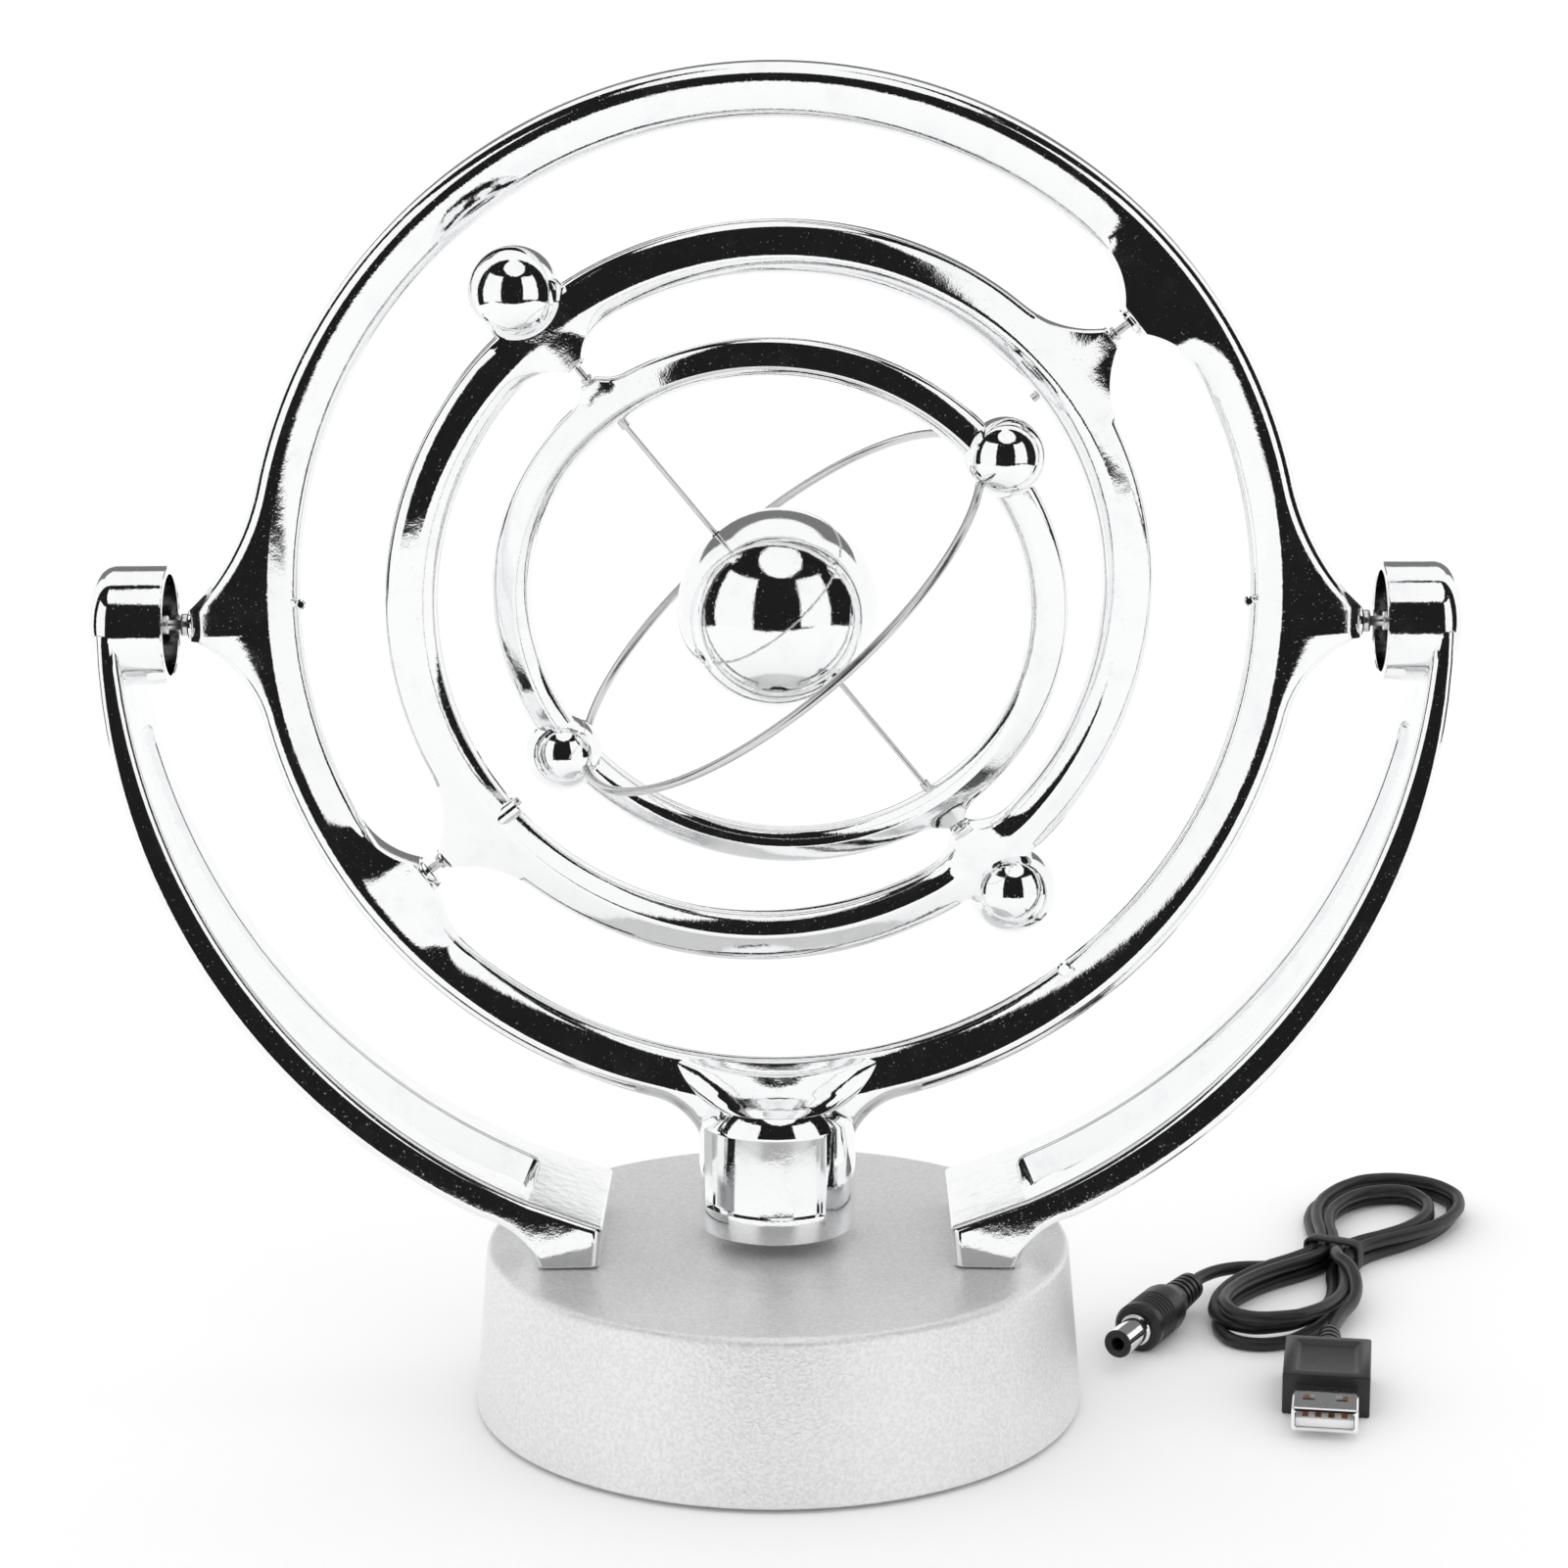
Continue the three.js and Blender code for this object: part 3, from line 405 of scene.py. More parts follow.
cordPlan = {
    "tie": (113, 68),  # on the desk
    "heading": 62,
    "radius": 1.3,
    "length": 0.84,
    "fromPlug": [(-35.6, 17, 4.8), (-29, 17.2, 4.6), (-21, 14.6, 4.2), (-14.4, 9.2, 3.4), (-9, 5.6, 2.2)],
    "toUsb": [(-9, -4.2, 6.2), (-14.6, -9, 6.2), (-25, -13.6, 4.6), (-36, -14.4, 4), (-45.8, -15.9, 4)],
    # side, reach, widths out and back, strands at the waist, heights out, at the end and back
    "loops": [
        (1, 52.5, 15.5, -12.5, 3.9, -3.9, 1.35, 1.35, 1.35),
        (-1, 51.5, -10.5, 9.5, -3.9, 1.3, 1.35, 1.35, 1.35),
        (1, 46, 10.5, -8.8, 1.3, -1.3, 1.35, 1.35, 1.35),
        (-1, 47.5, -8.4, 11.5, -1.3, 3.9, 1.35, 3.0, 4.0),
        (1, 51, 13.2, -14.5, 3.9, -3.9, 4.0, 4.0, 4.0),
        (-1, 50.5, -11.5, 8.4, -3.9, 1.3, 4.0, 6.4, 4.1),
        (1, 43, 9.2, -9.6, 1.3, -1.3, 4.0, 4.0, 4.1),
    ],
    "turn": [(0.07, 0.03), (0.17, 0.2), (0.33, 0.62), (0.5, 0.93), (0.66, 1.0), (0.81, 0.86), (0.93, 0.5)],
}


def onDesk(x, y, z):  # a place in the hank's own directions
    turn = radians(cordPlan["heading"])
    left, back = cordPlan["tie"]
    return Vector((left + x * cos(turn) - y * sin(turn), back + x * sin(turn) + y * cos(turn), z)) * mm


def makeCord():
    route = list(cordPlan["fromPlug"])
    for side, reach, widthOut, widthBack, yOut, yBack, zOut, zEnd, zBack in cordPlan["loops"]:
        route.append((0, yOut, zOut + 0.35))
        for along, across in cordPlan["turn"]:
            height = zOut + (zEnd - zOut) * min(1, along * 1.1) ** 2
            route.append((side * reach * along, yOut + (widthOut - yOut) * across, height))
        route.append((side * reach, (widthOut + widthBack) * 0.12, zEnd))
        for along, across in reversed(cordPlan["turn"]):
            height = zBack + (zEnd - zBack) * min(1, along * 1.1) ** 2
            route.append((side * reach * along, yBack + (widthBack - yBack) * across, height))
    route.append((0, -1.3, 4.45))
    route += cordPlan["toUsb"]
    line = bpy.data.curves.new("powerCord", "CURVE")
    line.dimensions = "3D"
    line.resolution_u = 6
    line.bevel_depth = cordPlan["radius"] * mm
    line.bevel_resolution = 4
    line.use_fill_caps = True
    spline = line.splines.new("BEZIER")
    spline.bezier_points.add(len(route) - 1)
    for knot, spot in zip(spline.bezier_points, route):
        knot.co = onDesk(*spot)
        knot.handle_left_type = knot.handle_right_type = "AUTO"
    cord = bpy.data.objects.new("powerCord", line)
    bpy.context.collection.objects.link(cord)
    line.materials.append(finishes["cord"])
    steps = [onDesk(*spot) for spot in route]
    length = sum((after - before).length for before, after in zip(steps, steps[1:]))
    print("cord points", len(route), "length about", round(length, 3))
    return cord, steps[0]


powerCord, cordExit = makeCord()
print("cord laid")


# ---- drum, with its jack opening at the back ----

drumPlan = {
    "height": 30.9, "bottom": 0.8, "bottomRadius": 56.2, "topRadius": 53.8,
    "rimRound": 1.5, "wall": 2.4, "topWall": 3, "jackHeight": 13.5, "jackHole": 4.2,
}


def makeDrum():
    p = drumPlan
    top, round_ = p["height"], p["rimRound"]
    slope = (p["bottomRadius"] - p["topRadius"]) / (top - p["bottom"])
    outline = [(0, top), (p["topRadius"] - 12, top), (p["topRadius"] - 4, top)]
    for step in range(7):
        turn = radians(90 - 15 * step)
        outline.append((p["topRadius"] - round_ + round_ * cos(turn), top - round_ + round_ * sin(turn)))
    outline += [(p["bottomRadius"] - slope * 12, 12.8), (p["bottomRadius"] - 0.02, p["bottom"] + 0.4),
                (p["bottomRadius"] - 0.35, p["bottom"]), (p["bottomRadius"] - p["wall"], p["bottom"]),
                (p["topRadius"] - p["wall"], top - p["topWall"]), (0, top - p["topWall"])]
    drum = spinProfile("drumHousing", outline, 192, finish="satin")
    bpy.ops.mesh.primitive_cylinder_add(vertices=48, radius=p["jackHole"] * mm, depth=0.012,
                                        location=(0, 0.055, p["jackHeight"] * mm), rotation=(pi / 2, 0, 0))
    hole = settle(bpy.context.object)
    cutAway(drum, hole)
    finishPiece(drum, "stand", "satin_silver", "base_housing", angle=30)


makeDrum()
print("drum made")


# ---- arms with their slots and cups ----

armPlan = {
    "pivot": 146, "cupFace": 108, "cupEnd": 121.3, "cupRadius": 10.8, "cupBore": 9, "cupFloor": 119.3,
    "outer": (119.9, 118), "inner": (115.9, 112.2), "foot": (32, 43.5), "footTop": 31.2, "undercut": 8,
    "halfDepth": (10.8, 19), "slotHalf": (5.4, 9.4), "slot": (9.5, 66.5), "slotRound": 2.2,
    "edge": 1.6, "cupRound": 4, "lean": 0.5,
}


def armStations():  # outer point, inner point, how far into the slot
    p = armPlan
    low, high = p["slot"]
    angles = [0, 3, 6, 8.2, low, low + 0.12, low + 0.5, low + 1.1]
    angles += [low + 1.1 + (high - low - 2.2) * step / 46 for step in range(1, 46)]
    angles += [high - 1.1, high - 0.5, high - 0.12, high]
    footStart = degrees(acos((p["foot"][1] + p["undercut"]) / p["outer"][1]))
    start = (p["foot"][1] + p["undercut"], p["pivot"] - p["outer"][1] * sin(radians(footStart)))
    bend = (p["foot"][1] + 1.5, p["footTop"] + p["undercut"] * 0.7)
    end = (p["foot"][1], p["footTop"])

    def hollow(t):
        return tuple((1 - t) ** 2 * a + 2 * t * (1 - t) * b + t * t * c for a, b, c in zip(start, bend, end))

    def below(radius, angle):
        return (radius * cos(radians(angle)), p["pivot"] - radius * sin(radians(angle)))

    stations = []
    for angle in angles:
        outer = p["outer"][0] + (p["outer"][1] - p["outer"][0]) * (angle / 70) ** 2
        inner = p["inner"][1] + (p["inner"][0] - p["inner"][1]) * (1 - angle / 75) ** 2
        past = (angle - footStart) / (high - footStart)
        outside = below(outer, angle) if angle < footStart else hollow(past * 0.38)
        within = min(angle - low, high - angle) * 2.03  # mm along the strap
        stations.append((outside, below(inner, angle), within if angle in (low, high) or within > 0 else -1))
    innerEnd = below(p["inner"][1], degrees(acos((p["foot"][0] - 0.6) / p["inner"][1])))
    innerStart = stations[-1][1]
    for step in range(1, 7):
        t = step / 6
        lift = min(1.0, t * 1.5)
        if lift < 1:
            inside = tuple(a + (b - a) * lift for a, b in zip(innerStart, innerEnd))
        else:
            drop = (t - 2 / 3) * 3
            inside = (innerEnd[0] + (p["foot"][0] - innerEnd[0]) * drop,
                      innerEnd[1] + (p["footTop"] - innerEnd[1]) * drop)
        stations.append((hollow(0.38 + 0.62 * t), inside, -1))
    return stations


def makeArms():
    p = armPlan
    stations = armStations()
    last = len(stations) - 1
    deselectAll()
    bpy.ops.mesh.primitive_grid_add(x_subdivisions=last, y_subdivisions=3, size=2)
    arm = bpy.context.object
    arm.name = "rightArm"
    if len(arm.data.vertices) != 4 * (last + 1):
        raise ValueError("the strap's grid has another count")
    slotFaces = {index for index in range(last) if stations[index][2] >= 0 and stations[index + 1][2] >= 0}
    editWhere(arm, "FACE", lambda at, normal: abs(at.y) < 0.1 and floor((at.x + 1) / 2 * last) in slotFaces)
    bpy.ops.mesh.delete(type="FACE")
    editAll(arm)
    bpy.ops.mesh.extrude_region_move(TRANSFORM_OT_translate={"value": (0, 0, -1)})
    bpy.ops.mesh.select_all(action="SELECT")
    bpy.ops.mesh.normals_make_consistent(inside=False)
    objectMode()

    along = []  # the long edges of the strap's sides
    for edge in arm.data.edges:
        one, two = (arm.data.vertices[index].co for index in edge.vertices)
        if abs(one.y) > 0.99 and abs(two.y) > 0.99 and one.y * two.y > 0 and abs(one.z - two.z) < 0.01:
            along.append(edge.index)

    def wrap(point):
        outside, inside, within = stations[round((point.x + 1) / 2 * last)]
        x, z = inside if point.z < -0.5 else outside
        share = (p["pivot"] - z) / (p["pivot"] - drumPlan["height"])
        half = p["halfDepth"][0] + (p["halfDepth"][1] - p["halfDepth"][0]) * share
        slot = p["slotHalf"][0] + (p["slotHalf"][1] - p["slotHalf"][0]) * share
        round_ = p["slotRound"]
        slot -= round_ - sqrt(max(0, round_ ** 2 - (round_ - min(max(within, 0), round_)) ** 2))
        across = half - (p["lean"] if point.z < -0.5 else 0) if abs(point.y) > 0.6 else slot
        return Vector((x, across if point.y > 0 else -across, z)) * mm

    movePoints(arm, wrap)
    editAll(arm)
    bpy.ops.mesh.normals_make_consistent(inside=False)
    editWhere(arm, "EDGE", lambda one, two: False)
    objectMode()
    for index in along:
        arm.data.edges[index].select = True
    bpy.ops.object.mode_set(mode="EDIT")
    bpy.ops.mesh.bevel(offset=p["edge"] * mm, segments=5, profile=0.5, affect="EDGES", clamp_overlap=True)
    objectMode()
    arm.data.materials.append(finishes["chrome"])
    bevelEdges(arm, 0.5, 3, 50)
    round_ = p["cupRound"]
    outline = [(0, p["cupEnd"])]
    for step in range(7):
        turn = radians(15 * step)
        outline.append((p["cupRadius"] - round_ + round_ * sin(turn), p["cupEnd"] - round_ + round_ * cos(turn)))
    outline += [(p["cupRadius"], p["cupFace"]), (p["cupBore"], p["cupFace"]),
                (p["cupBore"], p["cupFloor"]), (0, p["cupFloor"])]
    cup = spinProfile("cup", outline, 96, "X")
    movePoints(cup, lambda at: at + Vector((0, 0, p["pivot"] * mm)))
    bevelEdges(cup, 0.4, 3, 50)
    bpy.ops.mesh.primitive_cylinder_add(vertices=96, radius=(p["cupBore"] + 0.5) * mm, depth=0.011,
                                        location=(0.1135, 0, p["pivot"] * mm), rotation=(0, pi / 2, 0))
    room = settle(bpy.context.object)
    cutAway(arm, room)
    unite(arm, cup)
    left = makeCopy(arm, "leftArm", halfTurn)
    finishPiece(arm, "stand", "chrome_plate", "right_arm", angle=28, even=True)
    finishPiece(left, "stand", "chrome_plate", "left_arm", angle=28, even=True)


makeArms()
print("arms made")


# ---- rings ----

ringPlan = {
    "centre": 150, "diagonal": 38.1,  # height of the outer ring's centre, slope of the middle ring's pins
    "middleShift": -0.4, "middleTurn": 10.3,  # along its pins, and about them at rest
    "innerShift": -1.6, "innerTurn": -13.7,
}


def unit(angle):
    return Vector((cos(radians(angle)), sin(radians(angle))))


def placeRings():
    p = ringPlan
    outer = Matrix.Translation((0, 0, p["centre"] * mm))
    shift = unit(p["diagonal"]) * p["middleShift"] * mm
    middle = outer @ Matrix.Translation((shift.x, 0, shift.y)) @ Matrix.Rotation(radians(-p["diagonal"]), 4, "Y")
    middle = middle @ Matrix.Rotation(radians(p["middleTurn"]), 4, "X")
    inner = middle @ Matrix.Translation((0, 0, p["innerShift"] * mm))
    inner = inner @ Matrix.Rotation(radians(p["innerTurn"]), 4, "Z")
    return {"outer": outer, "middle": middle, "inner": inner}


ringFrames = placeRings()


def radialLug(angle, tip, half, spread):  # a lug with a flat tip, and the angles between which the ring swells to it
    along, across = unit(angle) * tip, unit(angle + 90) * half
    return {"from": angle - spread, "to": angle + spread, "first": along - across, "last": along + across}


sections = {  # how far in from the rim and how deep, front half of each section in mm
    "outer": [(0, 0.16), (0.05, 1.2), (0.35, 2.2), (1.0, 3.1), (1.9, 3.75), (2.7, 4.0), (3.3, 3.95), (4.8, 3.46),
              (6.4, 2.82), (7.9, 2.15), (8.8, 1.6), (9.45, 1.0), (9.9, 0.16)],
    "middle": [(0, 0.16), (0.1, 1.0), (0.5, 1.75), (1.2, 2.2), (2.2, 2.48), (3.6, 2.82), (5.0, 3.13), (5.7, 3.25),
               (6.2, 3.12), (7.3, 2.5), (8.4, 1.85), (9.1, 1.1), (9.5, 0.16)],
    "inner": [(0, 0.16), (0.1, 0.8), (0.5, 1.25), (1.2, 1.6), (2.4, 2.05), (3.6, 2.52), (4.2, 2.75), (4.7, 2.62),
              (5.6, 2.05), (6.4, 1.35), (6.8, 0.8), (7.0, 0.16)],
    "webs": {"outer": (3.0, 8.3), "middle": (1.0, 8.0), "inner": (1.0, 6.0)},  # what moves out with a lug, and in
}


def ringSection(kind, outer):  # radius and depth of the outline, front then back
    front = [(outer - inward, depth) for inward, depth in sections[kind]]
    outline = [(outer + 0.05, 0)] + [(r, -d) for r, d in front] + [(front[-1][0] - 0.04, 0)]
    return outline + [(r, d) for r, d in reversed(front)]


def lugReach(angle, radius, lug):  # where a ray leaves a circle that sweeps out to the lug's flat tip
    u = unit(angle)
    firstAngle = degrees(atan2(lug["first"].y, lug["first"].x))
    lastAngle = degrees(atan2(lug["last"].y, lug["last"].x))
    firstAngle += 360 * round((angle - firstAngle) / 360)
    lastAngle += 360 * round((angle - lastAngle) / 360)
    if firstAngle <= angle <= lastAngle:
        edge = (lug["last"] - lug["first"]).orthogonal()
        return edge.dot(lug["first"]) / edge.dot(u)
    before = angle < firstAngle
    e, corner = (unit(lug["from"]), lug["first"]) if before else (unit(lug["to"]), lug["last"])
    bend = -(corner - e * radius).length_squared / (2 * (radius - e.dot(corner)))
    centre = e * (radius + bend)
    away = centre.dot(u)
    inside = max(0, away ** 2 - centre.length_squared + bend ** 2)
    return away - sqrt(inside) if bend > 0 else away + sqrt(inside)


def makeRing(name, kind, outer, inner, outerLugs, innerLugs, steps=720, thin=0.2):
    ring = spinProfile(name, ringSection(kind, outer), steps, "Y")
    corners = {}
    for lug in outerLugs + innerLugs:
        for corner in (lug["first"], lug["last"]):
            angle = degrees(atan2(corner.y, corner.x)) % 360
            corners[round(angle * steps / 360) % steps] = angle
    outerWeb, innerWeb = (outer - inward for inward in sections["webs"][kind])
    ridge = max(depth for inward, depth in sections[kind])

    def shape(at):
        x, y, z = at / mm
        radius = hypot(x, z)
        angle = degrees(atan2(z, x)) % 360
        angle = corners.get(round(angle * steps / 360) % steps, angle)
        for lugs, circle, mine in ((outerLugs, outer, radius > outerWeb), (innerLugs, inner, radius < innerWeb)):
            for lug in lugs:
                for turned in (angle, angle - 360, angle + 360):
                    if mine and lug["from"] < turned < lug["to"]:
                        rise = lugReach(turned, circle, lug) - circle
                        radius += rise
                        y *= 1 - thin * min(1, abs(rise) / 12)
        for lug in innerLugs:  # the face stays level across to the boss
            off = abs((angle - (lug["from"] + lug["to"]) / 2 + 180) % 360 - 180)
            level = max(0, min(1, ((lug["to"] - lug["from"]) / 2 + 2 - off) / 10))
            if radius < outerWeb and abs(y) > 0.5:
                level *= level * (3 - 2 * level) * min(1, (abs(y) - 0.5) / 0.8)
                y += ((ridge * 0.96 if y > 0 else -ridge * 0.96) - y) * level
        u = unit(angle)
        return Vector((u.x * radius, y, u.y * radius)) * mm

    return movePoints(ring, shape)


def addBalls(ring, radius, places):
    for place in places:
        deselectAll()
        bpy.ops.mesh.primitive_uv_sphere_add(segments=64, ring_count=40, radius=radius * mm,
                                             location=Vector(place) * mm)
        ball = settle(bpy.context.object)
        ball.data.materials.append(finishes["chrome"])
        joinPieces(ring, ball)
    return ring


def makeCollar(axis, radius, low, high, round_=0.25, sides=40):
    return spinProfile("collar", [(0, low), (radius - round_, low), (radius, low + round_), (radius, high - round_),
                                  (radius - round_, high), (0, high)], sides, axis)


hubPlan = {
    "bottom": 34, "radius": 14.4, "shoulder": 54.4, "top": 57.3, "topRadius": 12.6, "ribHalf": 8.8,
    "pocket": (38.7, 53.5), "pocketRadius": 12.9, "seat": 11.3, "seatDepth": 2,
}


def makeHub():
    p = hubPlan
    seatTop = p["bottom"] + p["seatDepth"]
    outline = [(0, p["top"]), (p["topRadius"], p["top"]), (p["radius"], p["shoulder"]), (p["radius"], p["bottom"]),
               (p["seat"], p["bottom"]), (p["seat"], seatTop), (0, seatTop)]
    hub = spinProfile("hub", outline, 144)
    reach = degrees(asin(p["ribHalf"] / p["radius"]))
    low, high = p["pocket"]
    inner, outer = p["pocketRadius"], p["radius"] + 3
    for side in (0, 180):
        pocket = spinProfile("pocket", [(inner, low), (outer, low), (outer, high), (inner, high)], 60, "Z",
                             side - 90 + reach, 180 - 2 * reach)
        cutAway(hub, pocket)
    bevelEdges(hub, 0.3, 3, 35)
    return hub


funnelPlan = {
    "foot": 57.2, "ring": 85.2, "narrow": 12.5, "wide": 24,
    # share of the height, depth
    "depths": [(0, 12.5), (0.15, 10.4), (0.35, 8.2), (0.575, 6.2), (0.8, 4.1), (1, 1.0)],
}


def makeFunnel():  # the scoop that carries the ring's face down to the hub's rim
    p = funnelPlan
    depths = p["depths"]
    deselectAll()
    bpy.ops.mesh.primitive_grid_add(x_subdivisions=60, y_subdivisions=28, size=2)
    funnel = bpy.context.object
    editAll(funnel)
    bpy.ops.mesh.extrude_region_move(TRANSFORM_OT_translate={"value": (0, 0, -1)})
    bpy.ops.mesh.select_all(action="SELECT")
    bpy.ops.mesh.normals_make_consistent(inside=False)
    objectMode()

    def shape(at):
        lift = ((at.y + 1) / 2) ** 1.3
        after = min(index for index in range(1, len(depths)) if lift <= depths[index][0] + 1e-6)
        (shareOne, one), (shareTwo, two) = depths[after - 1], depths[after]
        deep = one + (two - one) * (lift - shareOne) / (shareTwo - shareOne)
        edge = sin(at.x * pi / 2)
        x = (p["narrow"] + (p["wide"] - p["narrow"]) * lift ** 0.8) * edge
        top = ringPlan["centre"] - sqrt(p["ring"] ** 2 - x ** 2)
        z = p["foot"] + (top - p["foot"]) * lift
        y = max(deep * sqrt(max(0, 1 - edge ** 2)), 0.3)
        return Vector((x, y if at.z < -0.5 else -y, z)) * mm

    movePoints(funnel, shape)
    editAll(funnel)
    bpy.ops.mesh.remove_doubles(threshold=0.00002)
    bpy.ops.mesh.normals_make_consistent(inside=False)
    objectMode()
    funnel.data.materials.append(finishes["chrome"])
    return funnel


outerPlan = {
    "outer": 94.6, "inner": 84.7, "rise": 4, "horn": 104.5, "hornHalf": 2.8, "bossTip": 79.6,
    "neckHeight": 50.4, "neckHalf": 14,
    # across, up, radius of the marks where the sprues were cut
    "marks": ((84.3, 0, 0.9), (-84.3, 0, 0.9), (63.3, 56.7, 0.7), (52.2, -67.3, 1.3)),
}


def makeOuterRing():
    p = outerPlan
    tip, half, rise = p["horn"], p["hornHalf"], p["rise"]
    neck, wide = p["neckHeight"] - ringPlan["centre"], p["neckHalf"]
    diagonal = ringPlan["diagonal"]
    outerLugs = [
        {"from": -13, "to": 13, "first": Vector((tip, -half - rise)), "last": Vector((tip, half - rise))},
        {"from": 167, "to": 193, "first": Vector((-tip, half - rise)), "last": Vector((-tip, -half - rise))},
        {"from": 256, "to": 284, "first": Vector((-wide, neck)), "last": Vector((wide, neck))},
    ]
    innerLugs = [radialLug(angle, p["bossTip"], 3, 11) for angle in (diagonal, diagonal + 180)]
    ring = makeRing("outerRing", "outer", p["outer"], p["inner"], outerLugs, innerLugs)
    flanges = []
    for turn in (0, 180):
        flange = makeCollar("X", 2.75, tip - 0.5, tip + 0.25, 0.2)
        if turn:
            movePoints(flange, halfTurn)
        movePoints(flange, lambda at: at - Vector((0, 0, rise * mm)))
        flanges.append(flange)
        boss = makeCollar("X", 2.9, p["bossTip"] - 0.35, p["bossTip"] + 0.6, 0.2)
        boss.data.transform(Matrix.Rotation(-radians(diagonal + turn), 4, "Y"))
        flanges.append(boss)
    for x, z, size in p["marks"]:
        mark = makeCollar("Y", size, -3.4, -1.2, 0.3, 20)
        movePoints(mark, lambda at: at + Vector((x, -0.3 if size > 1 else 0.6, z)) * mm)
        flanges.append(mark)
    joinPieces(ring, *flanges)
    ring.data.transform(ringFrames["outer"])
    joinPieces(ring, makeHub(), makeFunnel())
    finishPiece(ring, "outer_frame", "chrome_plate", "outer_ring", angle=34)


makeOuterRing()
print("outer ring made")


innerPlan = {
    "middle": (68.9, 59.4), "inner": (51.6, 44.6),  # outer and inner radius of each ring
    "middleBall": (8.2, 72.3), "innerBall": (7.1, 50.2),  # radius, distance from the ring's centre
}


def makeInnerRings():
    p = innerPlan
    far, near = p["middleBall"], p["innerBall"]
    necks = [radialLug(angle, 76, 1.9, 12) for angle in (0, 180)]
    bosses = [radialLug(angle, 55.8, 1.9, 9) for angle in (90, 270)]
    middle = makeRing("middleRing", "middle", *p["middle"], necks, bosses, 600, 0.3)
    addBalls(middle, far[0], [(0, 0, far[1]), (0, 0, -far[1])])
    collars = []
    for side in (0, 180):
        neck = makeCollar("X", 2.1, 75.7, 76.2, 0.15)
        neck.data.transform(Matrix.Rotation(radians(side), 4, "Y"))
        boss = makeCollar("Z", 2.0, 55.55, 56.0, 0.15)
        boss.data.transform(Matrix.Rotation(radians(side), 4, "Y"))
        collars += [neck, boss]
    stub = makeCollar("X", 1.75, 58.8, 63.4, 0.25)
    stub.data.transform(Matrix.Translation((0, -1.6 * mm, 0)) @ Matrix.Rotation(pi, 4, "Y"))
    collars.append(stub)
    joinPieces(middle, *collars)
    middle.data.transform(ringFrames["middle"])
    finishPiece(middle, "middle_frame", "chrome_plate", "middle_ring", angle=34)
    lugs = [radialLug(angle, 53.6, 1.7, 7) for angle in (90, 270)]
    inner = makeRing("innerRing", "inner", *p["inner"], lugs, [], 480, 0.3)
    addBalls(inner, near[0], [(near[1], 0, 0), (-near[1], 0, 0)])
    inner.data.transform(ringFrames["inner"])
    finishPiece(inner, "inner_frame", "chrome_plate", "inner_ring", angle=34)


makeInnerRings()
print("inner rings made")


# ---- pins, wires and the centre ball ----

# lathe steps of each pin: radius, from, to along its axis
pinPlan = {
    "pivot": [(0.9, 96.6, 104.9), (2.0, 104.9, 106.1), (0.9, 106.1, 108.6), (1.7, 108.6, 112.9), (0.9, 112.9, 117.2)],
    "middle": [(0.75, 58.4, 76.4), (1.35, 76.4, 77.2), (0.75, 77.2, 84)],
    "innerUpper": [(0.6, 47.3, 53.9), (1.1, 53.9, 54.6), (0.6, 54.6, 61.6)],
    "innerLower": [(0.6, 47.3, 53.9), (1.1, 53.9, 54.4), (0.6, 54.4, 58.6)],
    "axle": [(0.9, -46.6, -43.2), (0.5, -43.2, 43.2), (0.9, 43.2, 46.6)],
}


def makePin(name, axis, parts, place, body, node, turn=0, about="Y"):
    profile = [(0, parts[0][1])]
    for radius, low, high in parts:
        profile += [(radius, low), (radius, high)]
    profile.append((0, parts[-1][2]))
    pin = spinProfile(name, profile, 32, axis, finish="steel")
    if turn:
        pin.data.transform(Matrix.Rotation(radians(turn), 4, about))
    pin.data.transform(place)
    bevelEdges(pin, 0.12, 2, 40)
    finishPiece(pin, body, "pin_steel", node, angle=35)


def makePins():
    pivot = Matrix.Translation((0, 0, armPlan["pivot"] * mm))
    for side, turn in (("right", 0), ("left", 180)):
        makePin(side + "PinPivot", "X", pinPlan["pivot"], pivot, "outer_frame", side + "_pivot_pin", turn, "Z")
    middle, inner = ringFrames["middle"], ringFrames["inner"]
    for end, turn in (("upper", 0), ("lower", 180)):
        makePin(end + "MiddlePin", "X", pinPlan["middle"], middle, "middle_frame", "middle_pin_" + end, turn)
    for end, turn in (("upper", 0), ("lower", 180)):
        parts = pinPlan["inner" + end.title()]
        makePin(end + "InnerPin", "Z", parts, inner, "inner_frame", "inner_pin_" + end, turn)


makePins()


wirePlan = {
    "orbit": 45, "radius": 0.8, "tilt": 3.6, "start": 5.6,  # the hoop, and how far from its ends each half begins
    "ball": 18, "bore": 0.8,
}


